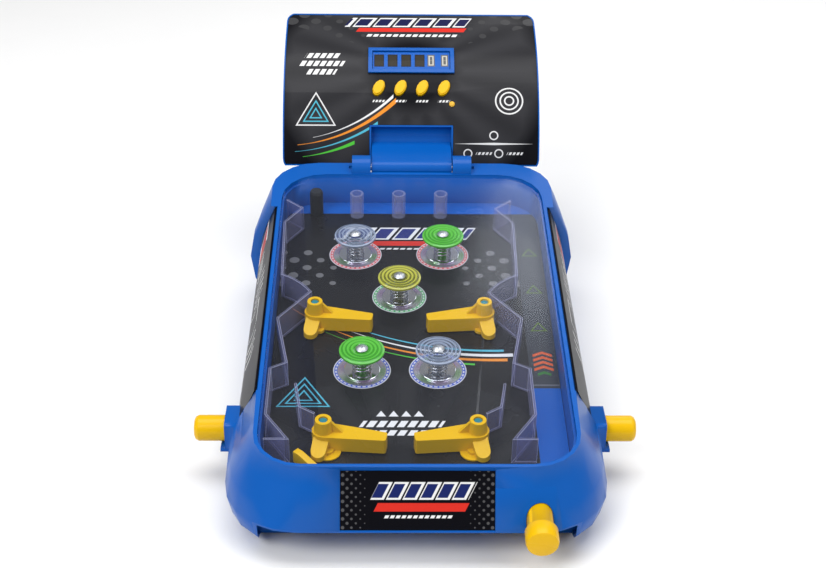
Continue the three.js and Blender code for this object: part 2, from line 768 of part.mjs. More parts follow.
// The lug that hangs from a flipper's boss toward the player, its top sloping down
function bossLug(x, y, side) {
  const far = bossLugReach + bossLugRadius;
  const slopes = prismAlongX([[y + flipperBossRadius, flipperLift], [y - far, flipperLift], [y - far, bossLugLow],
    [y - flipperBossRadius, bossLugHigh], [y + flipperBossRadius, bossLugHigh]]
    .map(([a, b]) => new THREE.Vector2(a, b)), x - far, x + far);
  return common(slopes, prism(capsuleOutline(x, y, flipperBossRadius, x + side * bossLugOffset, y - bossLugReach,
    bossLugRadius), flipperLift, bossLugHigh));
}

function flipper(side, level) {
  const [reach, y] = flipperPlaces[level];
  const x = across(side, reach);
  const turn = side > 0 ? Math.PI + flipperDroop : -flipperDroop;
  const [pinX, pinY] = crankPlace(side, level);
  const arm = prism(paddleOutline(x, y, flipperRootRadius, flipperLength, flipperTipHalf, flipperTipCorner, turn),
    flipperLift, flipperArmTop);
  const boss = placed(turned([[0, flipperLift], [flipperRootRadius, flipperLift],
    [flipperBossRadius, flipperBossTop], [0, flipperBossTop]]), new THREE.Matrix4().makeTranslation(x, y, 0));
  const webRun = flipperLength / 3;
  const web = placed(prismAlongY([[0, flipperArmTop - flipperLift], [0, flipperBossTop - flipperLift],
    [flipperBossRadius, flipperBossTop - flipperLift], [webRun, flipperArmTop - flipperLift]]
    .map(([a, b]) => new THREE.Vector2(-side * a, b)), -flipperLift, flipperLift),
  new THREE.Matrix4().makeRotationZ(side * flipperDroop).setPosition(x, y, 0));
  const crank = prism(capsuleOutline(x, y, flipperBossRadius, pinX, pinY, crankLugRadius), flipperLift, crankLugTop);
  const pin = disc(pinX, pinY, crankPinRadius, crankPinBottom, crankLugTop, smallSides);
  const pieces = [arm, boss, web, bossLug(x, y, side), crank, pin];
  if (level === 'lower') {
    pieces.push(disc(pinX, pinY, crankSkirtRadius, flipperLift / 2, flipperLift / 2 + crankSkirtThickness));
  }
  return cut(join(...pieces), disc(x, y, flipperPostRadius + runningGap, -flipperLift,
    flipperBossTop + overrun, smallSides));
}

// The bar under the playfield that carries a button's push to the cranks of its two flippers
const linkOuter = flipperPlaces.upper[0] - crankRadius * Math.cos(crankAngle) + linkHalf;
function linkBar(side) {
  const slots = [];
  const plates = [];
  const bottom = linkTop - linkThickness;
  const [upperX, upperY] = crankPlace(side, 'upper');
  for (const level of ['lower', 'upper']) {
    const [pinX, pinY] = crankPlace(side, level);
    const rise = crankRadius * (Math.sin(crankAngle) - Math.sin(crankAngle - flipperSwing));
    const half = crankPinRadius + pinSlack;
    slots.push(prism(capsuleOutline(pinX - side * pinSlack / 2, pinY, half + pinSlack / 4,
      pinX - side * pinSlack / 2, pinY + rise, half + pinSlack / 5), bottom - wall, linkTop + wall));
    plates.push(prism(roundedOutline(pinX - linkHalf, pinX + linkHalf, pinY - linkHalf, pinY + rise + 2 * linkHalf,
      linkHalf / 2), bottom, linkTop));
  }
  const [lowerX, lowerY] = crankPlace(side, 'lower');
  const long = prism(roundedOutline(upperX - linkHalf, upperX + linkHalf, lowerY + 2 * linkHalf, upperY + linkHalf,
    linkHalf / 2), bottom, linkTop);
  const foot = prism(roundedOutline(Math.min(lowerX, upperX) - linkHalf, Math.max(lowerX, upperX) + linkHalf,
    lowerY + 1.5 * linkHalf, lowerY + 3.5 * linkHalf, linkHalf / 2), bottom, linkTop);
  const outer = across(side, linkOuter);
  const stemY = buttonPlace[0];
  const tab = block(Math.min(outer, outer + side * linkTab), Math.max(outer, outer + side * linkTab),
    stemY - linkHalf, stemY + linkHalf, linkTop - 2 * linkHalf, linkTop);
  const neck = block(Math.min(upperX, outer), Math.max(upperX, outer), stemY - linkHalf, stemY + linkHalf,
    bottom, linkTop);
  return cut(join(...plates, long, foot, tab, neck), ...slots);
}

function sideButton(side) {
  const [y, z] = buttonPlace;
  const inner = Math.abs(across(side, linkOuter + linkTab + clearance));
  const start = knobSeat + buttonTravel + runningGap;
  const tip = buttonRadius / 3;
  const knob = turned([[0, start], [buttonRadius, start], [buttonRadius, buttonEnd - tip],
    [buttonRadius - tip / 3, buttonEnd - tip / 3], [buttonRadius - tip, buttonEnd], [0, buttonEnd]]);
  const stem = disc(0, 0, stemRadius, inner, start + wall, smallSides);
  const collar = disc(0, 0, collarRadius, knobSeat - housingFace - collarThickness - clearance,
    knobSeat - housingFace - clearance);
  const turn = new THREE.Matrix4().makeRotationY(side * Math.PI / 2).setPosition(0, y, z);
  return placed(join(knob, stem, collar), turn);
}

function returnSpring(side) {
  const [y, z] = buttonPlace;
  const outer = knobSeat - housingFace - collarThickness - 2 * clearance;
  const spring = coil(returnSpringRadius, springWire, returnSpringTurns, stemBracketPlace + clearance, outer);
  return placed(spring, new THREE.Matrix4().makeRotationY(side * Math.PI / 2).setPosition(0, y, z));
}

function plunger() {
  const length = plungerKnobLength;
  const edge = plungerKnobRadius / 5;
  const knob = placed(turned([[0, 0], [plungerKnobRadius - 1.5 * edge, 0], [plungerKnobRadius - edge / 3, edge / 2],
    [plungerKnobRadius, 1.5 * edge], [plungerKnobRadius, length - edge], [plungerKnobRadius - edge / 3, length - edge / 3],
    [plungerKnobRadius - edge, length], [0, length]]),
  new THREE.Matrix4().makeRotationX(-Math.PI / 2).setPosition(plungerPlace, plungerKnobFront, plungerAxis));
  const shaft = prismAlongY(roundedOutline(plungerPlace - plungerShaftHalf, plungerPlace + plungerShaftHalf,
    plungerAxis - plungerShaftHalf, plungerAxis + plungerShaftHalf, edge, plungerShaftHalf - clearance),
  plungerKnobFront + length / 2, plungerShaftEnd);
  const barHalf = plungerShaftHalf - edge / 2;
  const bar = block(plungerPlace - barHalf, plungerPlace + barHalf, plungerShaftEnd - plungerShaftHalf,
    strikerBack + clearance, plungerBarBottom, plungerBarTop);
  const arm = block(plungerPlace, strikerPlace + strikerHalf, strikerBack - 2 * strikerThickness,
    strikerBack, plungerBarBottom, plungerBarTop);
  const striker = block(strikerPlace - strikerHalf, strikerPlace + strikerHalf, strikerBack - strikerThickness,
    strikerBack, plungerBarBottom, strikerTop);
  const rodHeight = (plungerBarTop + plungerBarBottom) / 2;
  const rod = rodAlongY(plungerPlace, rodHeight, plungerRodRadius, strikerBack - strikerThickness,
    plungerRodEnd, smallSides);
  const tail = rodAlongY(plungerPlace, rodHeight, plungerTailRadius, plungerRodEnd - wall, plungerRodEnd);
  return join(knob, shaft, bar, arm, striker, rod, tail);
}

function plungerSpring() {
  const start = plungerRibPlace + plungerRibThickness + clearance;
  const end = plungerRodEnd - wall - clearance;
  const spring = coil(plungerSpringRadius, springWire, plungerSpringTurns, start, end);
  const rodHeight = (plungerBarTop + plungerBarBottom) / 2;
  return placed(spring, new THREE.Matrix4().makeRotationX(-Math.PI / 2).setPosition(plungerPlace, 0, rodHeight));
}

function steelBall() {
  const geometry = new THREE.SphereGeometry(ballRadius, roundSides, smallSides);
  geometry.translate(strikerPlace, strikerBack + clearance + ballRadius, ballRadius + clearance);
  return solidOf(geometry);
}

function drainDeflector() {
  const half = deflectorLength / 2;
  const outline = [[-half, clearance], [half, clearance], [half, deflectorLow], [-half / 2, deflectorHeight],
    [-half, deflectorHeight]].map(([a, b]) => new THREE.Vector2(a, b));
  return placed(prismAlongY(outline, -deflectorWidth / 2, deflectorWidth / 2),
    new THREE.Matrix4().makeRotationZ(deflectorTurn).setPosition(across(1, deflectorPlace[0]), deflectorPlace[1], 0));
}

// Base plate, with its feet, battery bay, speaker grille and button brackets

const bayOutline = (grow) => [-bayHalf - grow, bayHalf + grow, bayPlace - bayDepth / 2 - grow,
  bayPlace + bayDepth / 2 + grow];

function basePlate() {
  const top = baseBottom + baseThickness;
  const front = bodyFront + apronNotchDepth;
  const plate = cut(bodyFoot(wall + clearance, baseBottom, top),
    block(-apronNotchHalf, apronNotchHalf, bodyFront - overrun, front, 0, top + wall));
  const feet = footPlaces.map(([x, y]) => disc(x, y, footRadius, 0, top));
  const apronWall = common(bodySolid(wall + clearance),
    block(-bodyWidth, bodyWidth, front, front + wall, baseBottom, baseWallTop));
  const bay = block(...bayOutline(wall), baseBottom, baseBottom + bayHeight + wall);
  const [y, z] = buttonPlace;
  const brackets = [-1, 1].map((side) => {
    const x = side > 0 ? stemBracketPlace - stemBracketThickness : -stemBracketPlace;
    return block(x, x + stemBracketThickness, y - collarRadius - clearance, y + collarRadius + clearance,
      baseBottom, z + stemRadius / 2);
  });
  const saddle = join(rodAlongX(y, z, stemRadius + runningGap, -housingEnd, housingEnd),
    block(-housingEnd, housingEnd, y - stemRadius - runningGap, y + stemRadius + runningGap, z, z + overrun));
  const slots = Array.from({ length: speakerSlots }, (_, i) => {
    const offset = (i - (speakerSlots - 1) / 2) * speakerSlotPitch;
    const half = Math.sqrt(speakerRadius ** 2 - offset ** 2) - 2 * speakerSlot;
    return block(-half, half, speakerPlace + offset - speakerSlot / 2, speakerPlace + offset + speakerSlot / 2,
      0, top + wall);
  });
  const [switchX, switchY] = switchPlace;
  const [halfX, halfY] = switchHalf;
  const switchHole = block(switchX - halfX - runningGap, switchX + switchTravel + halfX + runningGap,
    switchY - halfY - runningGap, switchY + halfY + runningGap, 0, top + wall);
  return cut(join(plate, ...feet, apronWall, bay, ...brackets),
    block(...bayOutline(0), 0, baseBottom + bayHeight), saddle, ...slots, switchHole);
}

const batteryDoor = () => prism(roundedOutline(-bayHalf + clearance, bayHalf - clearance,
  bayPlace - bayDepth / 2 + clearance, bayPlace + bayDepth / 2 - clearance, wall / 2), baseBottom,
baseBottom + baseThickness);

function batteryCell(offset) {
  const z = baseBottom + baseThickness + clearance + cellRadius;
  const nub = cellRadius / 3;
  return join(rodAlongX(bayPlace + offset, z, cellRadius, -cellLength / 2, cellLength / 2 - nub / 2, smallSides),
    rodAlongX(bayPlace + offset, z, nub, 0, cellLength / 2, smallSides));
}

function speaker() {
  const z = baseBottom + baseThickness + clearance;
  return placed(turned([[0, z], [speakerRadius, z], [speakerRadius, z + wall], [speakerRimRadius, z + wall],
    [magnetRadius, z + magnetHeight], [magnetRadius, z + speakerHeight], [0, z + speakerHeight]]),
  new THREE.Matrix4().makeTranslation(0, speakerPlace, 0));
}

function powerSwitch() {
  const [x, y] = switchPlace;
  const [halfX, halfY] = switchHalf;
  const top = baseBottom + baseThickness;
  return join(block(x - halfX, x + halfX, y - halfY, y + halfY, baseBottom - switchProud, top + 2 * clearance),
    block(x - 2 * halfX, x + 2 * halfX, y - 2 * halfY, y + 2 * halfY, top + clearance, top + wall));
}

// Scoreboard. Angles are measured round the face's centre line, from level toward the player.

const [headY, headZ] = headCentre;
const degrees = THREE.MathUtils.degToRad;
const headPoint = (radius, angle) => new THREE.Vector2(
  headY - radius * Math.cos(degrees(angle)), headZ + radius * Math.sin(degrees(angle)));

// The angle that a length takes up on the face
const arcAngle = (length) => length / headRadius * 180 / Math.PI;

// A curved slab of the scoreboard, between two radii, two angles and two sides
function sector(inner, outer, start, end, x0, x1) {
  const steps = Math.max(2, Math.round((end - start) / 5));
  const arc = (radius) => Array.from({ length: steps + 1 },
    (_, i) => headPoint(radius, start + (end - start) * i / steps));
  return prismAlongX([...arc(outer), ...arc(inner).reverse()], x0, x1);
}

// A frame on the face at one angle: x across, y up the face, z out of it
const faceFrame = (x, radius, angle) => {
  const place = headPoint(radius, angle);
  return new THREE.Matrix4().makeRotationX(Math.PI / 2 - degrees(angle)).setPosition(x, place.x, place.y);
};

// Rounds the scoreboard's corners as seen from the front and from above
function roundedHead(solid, inset) {
  const low = headPoint(headRadius - headDepth, headStartAngle).y + inset;
  const half = headHalf - inset;
  const corner = headCorner - inset;
  const back = headPoint(headRadius - headDepth, headEndAngle).x - inset;
  const front = prismAlongY(roundedOutline(-half, half, low, headZ + 2 * headRadius, corner), -overrun,
    bodyBack + 2 * headRadius);
  const above = prism(roundedOutline(-half, half, -overrun, back, corner), -overrun, bodyBack + headRadius);
  return common(solid, front, above);
}

function headShell() {
  const inner = headRadius - headDepth;
  const body = roundedHead(sector(inner, headRadius, headStartAngle, headEndAngle, -headHalf, headHalf), 0);
  const room = (from, inset) => roundedHead(sector(from, headRadius + wall, headStartAngle + arcAngle(inset),
    headEndAngle - arcAngle(inset), inset - headHalf, headHalf - inset), inset);
  const [y, z] = hingePlace;
  const middle = recessRadius - recessWall / 2;
  const neck = prismAlongX([new THREE.Vector2(y, z + barrelRadius), headPoint(middle, neckTopAngle),
    headPoint(middle, headStartAngle + arcAngle(recessWall)), new THREE.Vector2(y, z - barrelRadius)],
  -barrelHalf, barrelHalf);
  const barrel = rodAlongX(y, z, barrelRadius, -barrelHalf, barrelHalf);
  const skin = cut(body, room(inner + headWall, headWall), room(faceInner - clearance, headRim));
  const lined = cut(join(skin, common(body, neckRecess(recessWall))), neckRecess(0));
  return cut(join(lined, neck, barrel), rodAlongX(y, z, hingePinRadius + clearance, -earOuter, earOuter, smallSides));
}

// The recess in the scoreboard's face that the neck comes out of
const neckRecess = (grow) => sector(recessRadius - grow, 2 * headRadius, 0, recessTopAngle + arcAngle(grow),
  -barrelHalf - runningGap - grow, barrelHalf + runningGap + grow);

function scoreButtonOutline(grow) {
  const [a, b] = scoreButtonSize;
  return Array.from({ length: smallSides }, (_, i) => {
    const angle = 2 * Math.PI * i / smallSides;
    return new THREE.Vector2((a + grow) * Math.cos(angle), (b + grow) * Math.sin(angle))
      .rotateAround(new THREE.Vector2(), scoreButtonLean);
  });
}

const scoreButtonPlaces = [-1.5, -0.5, 0.5, 1.5].map((share) => share * scoreButtonPitch);
const faceOuter = headRadius - clearance;
const faceInner = faceOuter - faceThickness;
const windowInset = arcAngle(bezelFrame);

function headFace() {
  const rim = headRim + clearance;
  const half = headHalf - rim;
  const panel = roundedHead(sector(faceInner, faceOuter, headStartAngle + arcAngle(rim),
    headEndAngle - arcAngle(rim), -half, half), rim);
  const window = sector(headRadius / 2, 2 * headRadius, bezelStartAngle + windowInset, bezelEndAngle - windowInset,
    bezelFrame - bezelHalf, bezelHalf - bezelFrame);
  const holes = scoreButtonPlaces.map((x) => placed(prism(scoreButtonOutline(runningGap), -scoreButtonDepth, overrun),
    faceFrame(x, faceOuter, scoreButtonAngle)));
  const lampHole = placed(disc(0, 0, lampRadius + clearance, -lampDepth - wall, overrun, smallSides),
    faceFrame(lampOffset, faceOuter, lampAngle));
  return cut(panel, neckRecess(recessWall + clearance), window, ...holes, lampHole);
}

function displayBezel() {
  const frame = sector(faceOuter + clearance, faceOuter + bezelProud, bezelStartAngle, bezelEndAngle, -bezelHalf, bezelHalf);
  return cut(frame, sector(headRadius / 2, 2 * headRadius, bezelStartAngle + windowInset, bezelEndAngle - windowInset,
    bezelFrame - bezelHalf, bezelHalf - bezelFrame));
}

function digitDisplay() {
  const gap = arcAngle(clearance);
  return sector(faceInner - displayDepth, faceOuter + clearance, bezelStartAngle + windowInset + gap,
    bezelEndAngle - windowInset - gap, bezelFrame + clearance - bezelHalf, bezelHalf - bezelFrame - clearance);
}

function scoreButton(x) {
  const stalk = prism(scoreButtonOutline(0), -scoreButtonDepth, scoreButtonShoulder);
  const crown = prism(scoreButtonOutline(-scoreButtonCrown), 0, scoreButtonProud);
  const seat = -faceThickness - 2 * clearance;
  const flange = prism(scoreButtonOutline(2 * runningGap), seat - scoreButtonFlange, seat);
  return placed(join(stalk, crown, flange), faceFrame(x, faceOuter, scoreButtonAngle));
}

function lampLens() {
  return placed(turned([[0, -lampDepth], [lampRadius, -lampDepth], [lampRadius, lampShoulder / 2],
    [(lampRadius + lampTopRadius) / 2, lampShoulder], [lampTopRadius, lampProud], [0, lampProud]], smallSides),
  faceFrame(lampOffset, faceOuter, lampAngle));
}

function circuitBoard() {
  const [halfX, halfY, thickness] = boardSize;
  return placed(block(-halfX, halfX, -halfY, halfY, -thickness, 0), faceFrame(0, boardRadius, boardAngle));
}

const hingePin = () => rodAlongX(...hingePlace, hingePinRadius, -earOuter, earOuter, smallSides);

// Materials

const finish = (color, roughness = 0.4, metalness = 0) => new THREE.MeshStandardMaterial({ color, roughness, metalness });
const blue = finish(0x1266c8, 0.28);
const yellow = finish(0xf5c400, 0.3);
const black = finish(0x101114, 0.25);
const steel = finish(0xb8bcc2, 0.25, 1);
const chrome = finish(0xe2e4e8, 0.12, 1);
const dark = finish(0x24262c, 0.5);
const clear = new THREE.MeshStandardMaterial({ color: 0xdde6f2, roughness: 0.08, transparent: true, opacity: 0.3 });
const tinted = (color) => new THREE.MeshStandardMaterial({ color, roughness: 0.1, transparent: true, opacity: 0.75 });

// Assembly

const game = new THREE.Group();
const table = new THREE.Group();
table.applyMatrix4(slope);
game.add(table);

function add(group, name, solid, material) {
  const mesh = new THREE.Mesh(geometryOf(solid), material);
  mesh.name = name;
  group.add(mesh);
  return mesh;
}

add(game, 'top_shell', topShell(), blue);
add(game, 'base_plate', basePlate(), blue);
add(game, 'front_label', frontLabel(), black);
add(table, 'clear_cover', clearCover(), clear);
add(table, 'playfield', playfield(), black);
add(table, 'dark_post', darkPost(), dark);
add(table, 'drain_deflector', drainDeflector(), yellow);
add(table, 'plunger', plunger(), yellow);
add(table, 'plunger_spring', plungerSpring(), steel);
add(table, 'steel_ball', steelBall(), chrome);
[-1, 0, 1].forEach((step, i) => add(table, `lane_post_${i + 1}`, lanePost(step * postPitch + playCentre), clear));

for (const [name, side] of [['left', -1], ['right', 1]]) {
  add(game, `${name}_side_label`, sideLabel(side), black);
  add(game, `${name}_flipper_button`, sideButton(side), yellow);
  add(game, `${name}_return_spring`, returnSpring(side), steel);
  add(table, `${name}_side_guide`, sideGuide(side), clear);
  add(table, `${name}_inlane_guide`, inlaneGuide(side), clear);
  add(table, `${name}_link_bar`, linkBar(side), dark);
  add(table, `lower_${name}_flipper`, flipper(side, 'lower'), yellow);
  add(table, `upper_${name}_flipper`, flipper(side, 'upper'), yellow);
}

const capColours = [0x9fb4d6, 0x44e020, 0xe8e000, 0x44e020, 0x9fb4d6];
bumperPlaces.forEach(([reach, y], i) => {
  const number = i + 1;
  for (const [name, solid, material] of [
    ['plate', bumperPlate(), chrome], ['spring', bumperSpring(), chrome], ['cap', bumperCap(), tinted(capColours[i])],
  ]) add(table, `bumper_${name}_${number}`, solid, material).position.set(across(1, reach), y, 0);
});

add(game, 'battery_door', batteryDoor(), blue);
[-1, 1].forEach((share, i) => add(game, `battery_${i + 1}`, batteryCell(share * cellPitch / 2), dark));
add(game, 'speaker', speaker(), dark);
add(game, 'power_switch', powerSwitch(), black);

add(game, 'head_shell', headShell(), blue);
add(game, 'head_face', headFace(), black);
add(game, 'display_bezel', displayBezel(), blue);
add(game, 'digit_display', digitDisplay(), dark);
scoreButtonPlaces.forEach((x, i) => add(game, `score_button_${i + 1}`, scoreButton(x), yellow));
add(game, 'lamp_lens', lampLens(), yellow);
add(game, 'circuit_board', circuitBoard(), finish(0x1f6b3a, 0.5));
add(game, 'hinge_pin', hingePin(), steel);

console.log(`least gap of a coil to itself: ${leastCoilGap.toFixed(2)} mm`);

// The origin is the middle of the footprint, on the ground
const extent = new THREE.Box3().setFromObject(game);
game.position.y = -(extent.min.y + extent.max.y) / 2;
game.updateMatrixWorld(true);

export default game;
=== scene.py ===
# %% [markdown]
# # A tabletop pinball game
# The game is a sloping toy table under a clear cover, with a folding scoreboard behind it. Its working
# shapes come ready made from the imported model, so this lesson is about looks: how each plastic, print
# and metal of the real toy is made in Blender, and which pieces deserve finer meshes of their own.

# %% Load the working model
import bpy
import json
import math
from mathutils import Matrix, Vector

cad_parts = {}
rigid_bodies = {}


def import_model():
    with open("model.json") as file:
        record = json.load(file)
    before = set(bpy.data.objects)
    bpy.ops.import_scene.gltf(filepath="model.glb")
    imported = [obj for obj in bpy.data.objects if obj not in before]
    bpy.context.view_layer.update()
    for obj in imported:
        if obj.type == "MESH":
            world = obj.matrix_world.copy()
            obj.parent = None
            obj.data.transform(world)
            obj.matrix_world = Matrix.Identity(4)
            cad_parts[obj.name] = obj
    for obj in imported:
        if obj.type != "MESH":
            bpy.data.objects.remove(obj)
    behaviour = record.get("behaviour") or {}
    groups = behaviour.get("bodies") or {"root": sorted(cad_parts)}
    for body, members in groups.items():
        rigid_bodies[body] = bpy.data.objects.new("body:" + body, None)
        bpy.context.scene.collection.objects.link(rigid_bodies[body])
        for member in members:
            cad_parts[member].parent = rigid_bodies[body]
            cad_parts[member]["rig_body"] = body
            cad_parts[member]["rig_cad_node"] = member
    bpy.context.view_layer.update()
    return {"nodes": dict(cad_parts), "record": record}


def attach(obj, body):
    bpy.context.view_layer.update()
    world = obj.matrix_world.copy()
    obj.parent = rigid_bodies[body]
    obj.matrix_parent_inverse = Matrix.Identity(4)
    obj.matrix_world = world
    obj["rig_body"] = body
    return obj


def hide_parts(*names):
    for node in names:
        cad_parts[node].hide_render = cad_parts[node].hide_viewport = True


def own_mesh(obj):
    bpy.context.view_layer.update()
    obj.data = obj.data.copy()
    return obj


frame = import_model()
nodes = frame["nodes"]

# %% [markdown]
# The playfield slopes, and its print, posts and flippers are laid out in its own flat frame: x to the
# right, y up the slope, z square to it. Keeping one small function from that frame to the room's frame
# means every number below can be read off the playfield in millimetres.

# %% The playfield's own frame
SLOPE = math.radians(6.5)
TABLE_SHIFT = -204.328
FIELD_HEIGHT = 36
field_frame = (Matrix.Translation((0, TABLE_SHIFT / 1000, FIELD_HEIGHT / 1000))
               @ Matrix.Rotation(SLOPE, 4, "X"))


def on_field(x, y, z):
    return field_frame @ Vector((x / 1000, y / 1000, z / 1000))


print("middle of the playfield at", tuple(round(v, 4) for v in on_field(0, 165, 0)))

# %% [markdown]
# A camera is easiest to match when it is placed as a photographer would: where it stands, how far it
# looks down, how far it turns aside, and how much it leans. The lens is a short telephoto, which keeps
# the sides of the table nearly parallel.

# %% Camera
def camera_axes(pitch, yaw, roll):
    ahead = Vector((math.sin(yaw) * math.cos(pitch), math.cos(yaw) * math.cos(pitch), -math.sin(pitch)))
    right = ahead.cross(Vector((0, 0, 1))).normalized()
    down = ahead.cross(right)
    leaned_right = right * math.cos(roll) + down * math.sin(roll)
    leaned_down = down * math.cos(roll) - right * math.sin(roll)
    return leaned_right, leaned_down, ahead


PITCH, YAW, ROLL = math.radians(35.644), math.radians(1.206), math.radians(-0.889)
LENS, SENSOR_WIDTH = 67.06, 36
CAMERA_PLACE = (-18.7, -671.65, 637.85)
right, down, ahead = camera_axes(PITCH, YAW, ROLL)
turn = field_frame.to_3x3() @ Matrix((right, -down, -ahead)).transposed()
camera_data = bpy.data.cameras.new("photo_camera")
camera_data.lens = LENS
camera_data.sensor_width = SENSOR_WIDTH
camera = bpy.data.objects.new("photo_camera", camera_data)
bpy.context.scene.collection.objects.link(camera)
camera.matrix_world = Matrix.Translation(on_field(*CAMERA_PLACE)) @ turn.to_4x4()
bpy.context.scene.camera = camera
print("camera at", tuple(round(v, 3) for v in camera.location))

# %% [markdown]
# Product photographs of toys are lit by big soft boxes round a white sweep. A wide pale floor and a
# bright surrounding light give the white ground. Three large lamps give the long soft streaks that run
# along the glossy blue plastic, and a small one behind is mirrored as a sheen in the clear cover.

# %% Floor and lamps
def deselect():
    if bpy.context.mode != "OBJECT":
        bpy.ops.object.mode_set(mode="OBJECT")
    bpy.ops.object.select_all(action="DESELECT")


deselect()
bpy.ops.mesh.primitive_plane_add(size=12, location=(0, 2, 0))
floor = bpy.context.active_object
floor.name = "floor"


def soft_lamp(name, place, target, width, depth, power):
    lamp_data = bpy.data.lights.new(name, "AREA")
    lamp_data.shape = "RECTANGLE"
    lamp_data.size, lamp_data.size_y, lamp_data.energy = width, depth, power
    lamp = bpy.data.objects.new(name, lamp_data)
    bpy.context.scene.collection.objects.link(lamp)
    lamp.location = place
    lamp.rotation_euler = (Vector(target) - Vector(place)).to_track_quat("-Z", "Y").to_euler()
    return lamp


lamps = [
    soft_lamp("key_lamp", (-0.9, -1.1, 1.3), (0, 0, 0.05), 1.1, 0.8, 19),
    soft_lamp("fill_lamp", (1.2, -0.7, 1.0), (0, 0, 0.05), 1.2, 0.9, 7),
    soft_lamp("top_lamp", (0, 0.1, 1.7), (0, 0.0, 0.05), 2.0, 1.1, 25),
    soft_lamp("sheen_lamp", (0.5, 1.0, 0.8), (0.08, 0.05, 0.08), 0.72, 0.55, 2.2),
]
world = bpy.data.worlds.new("studio")
world.use_nodes = True
world.node_tree.nodes["Background"].inputs["Color"].default_value = (1, 1, 1, 1)
world.node_tree.nodes["Background"].inputs["Strength"].default_value = 0.3
bpy.context.scene.world = world
bpy.context.scene.view_settings.view_transform = "Standard"
print("lamps", [lamp.name for lamp in lamps])

# %% [markdown]
# Shader maths reads best as ordinary arithmetic. A small class wraps one socket of a material, so that
# `u * 2 + 1` adds the Math nodes by itself, and a second one makes any other node from its type, its
# settings and its inputs. Lengths in every pattern are in millimetres.

# %% Shader arithmetic
class Wire:
    """One output socket, with arithmetic that adds Math nodes."""

    def __init__(self, finish, socket):
        self.finish, self.socket = finish, socket

    def math(self, operation, *others, clamp=False):
        settings = {"operation": operation, "use_clamp": clamp}
        return self.finish.node("ShaderNodeMath", settings, [self, *others])

    def __add__(self, other):
        return self.math("ADD", other)

    def __sub__(self, other):
        return self.math("SUBTRACT", other)

    def __mul__(self, other):
        return self.math("MULTIPLY", other)

    def __truediv__(self, other):
        return self.math("DIVIDE", other)

    def __rsub__(self, other):
        return self * -1 + other

    def __neg__(self):
        return self * -1

    def __abs__(self):
        return self.math("ABSOLUTE")

    __radd__, __rmul__ = __add__, __mul__

    def low(self, other):
        return self.math("MINIMUM", other)

    def part(self):
        return self.math("FRACT")

    def edge(self, width=0.12):
        """1 where the value is above zero and 0 below, with a soft edge of that width."""
        return self.math("MULTIPLY_ADD", 1 / width, 0.5, clamp=True)


class Finish:
    """One material: its nodes, and its main shader."""

    def __init__(self, name, **plain):
        self.material = bpy.data.materials.new(name)
        self.material.use_nodes = True
        self.tree = self.material.node_tree
        self.shader = self.tree.nodes["Principled BSDF"]
        for socket, value in plain.items():
            self.shader.inputs[socket.replace("_", " ")].default_value = value

    def node(self, kind, settings=None, inputs=(), output=0):
        made = self.tree.nodes.new(kind)
        for key, value in (settings or {}).items():
            setattr(made, key, value)
        pairs = inputs.items() if isinstance(inputs, dict) else enumerate(inputs)
        for key, value in pairs:
            self.put(made.inputs[key], value)
        return Wire(self, made.outputs[output])

    def put(self, socket, value):
        if isinstance(value, Wire):
            self.tree.links.new(value.socket, socket)
        else:
            socket.default_value = value

    def feed(self, **sockets):
        for name, value in sockets.items():
            self.put(self.shader.inputs[name.replace("_", " ")], value)

    def place(self):
        """The three room coordinates, in millimetres."""
        where = self.node("ShaderNodeTexCoord", output="Object")
        axes = [self.node("ShaderNodeSeparateXYZ", None, [where], axis) for axis in "XYZ"]
        return [axis * 1000 for axis in axes]

    def field_place(self):
        """The playfield's own x, y and z, in millimetres."""
        x, y, z = self.place()
        y, z = y - TABLE_SHIFT, z - FIELD_HEIGHT
        return x, y * math.cos(SLOPE) + z * math.sin(SLOPE), z * math.cos(SLOPE) - y * math.sin(SLOPE)

    def mix(self, below, above, mask):
        made = self.tree.nodes.new("ShaderNodeMix")
        made.data_type = "RGBA"
        for index, value in ((0, mask), (6, below), (7, above)):
            self.put(made.inputs[index], value)
        return Wire(self, made.outputs[2])

    def printed(self, below, layers):
        """A ground colour with printed layers over it, each a tint and its mask, in order."""
        for tint, mask in layers:
            below = self.mix(below, tint, mask)
        return below

    def noise(self, scale, detail=2.0, stretch=(1, 1, 1)):
        where = self.node("ShaderNodeTexCoord", output="Object")
        laid = self.node("ShaderNodeMapping", None, {"Vector": where, "Scale": stretch})
        return self.node("ShaderNodeTexNoise", None, {"Vector": laid, "Scale": scale, "Detail": detail})

    def grain(self, scale, depth, detail=2.0, stretch=(1, 1, 1)):
        """Fine relief, as deep as the given millimetres."""
        height = self.noise(scale, detail, stretch)
        sockets = {"Height": height, "Distance": depth / 1000, "Strength": 1.0}
        bump = self.node("ShaderNodeBump", None, sockets)
        self.feed(Normal=bump)


def colour(red, green, blue):
    return (red, green, blue, 1.0)


print("shader helpers ready")

# %% [markdown]
# The body is one blue plastic, moulded with a satin skin. Real mouldings are never one flat colour: the
# shine varies a little with the flow of the plastic, and a very fine grain breaks up reflections.

# %% Moulded plastics
def moulded(name, tint, rough=0.3, grain_depth=0.02, shade=0.9, shine=0.22):
    plastic = Finish(name, Specular_IOR_Level=shine)
    flow = plastic.noise(14, 3)
    dark = tuple(channel * shade for channel in tint[:3]) + (1.0,)
    plastic.feed(Base_Color=plastic.mix(dark, tint, flow), Roughness=flow * 0.12 + (rough - 0.06))
    plastic.grain(900, grain_depth, 2)
    return plastic.material


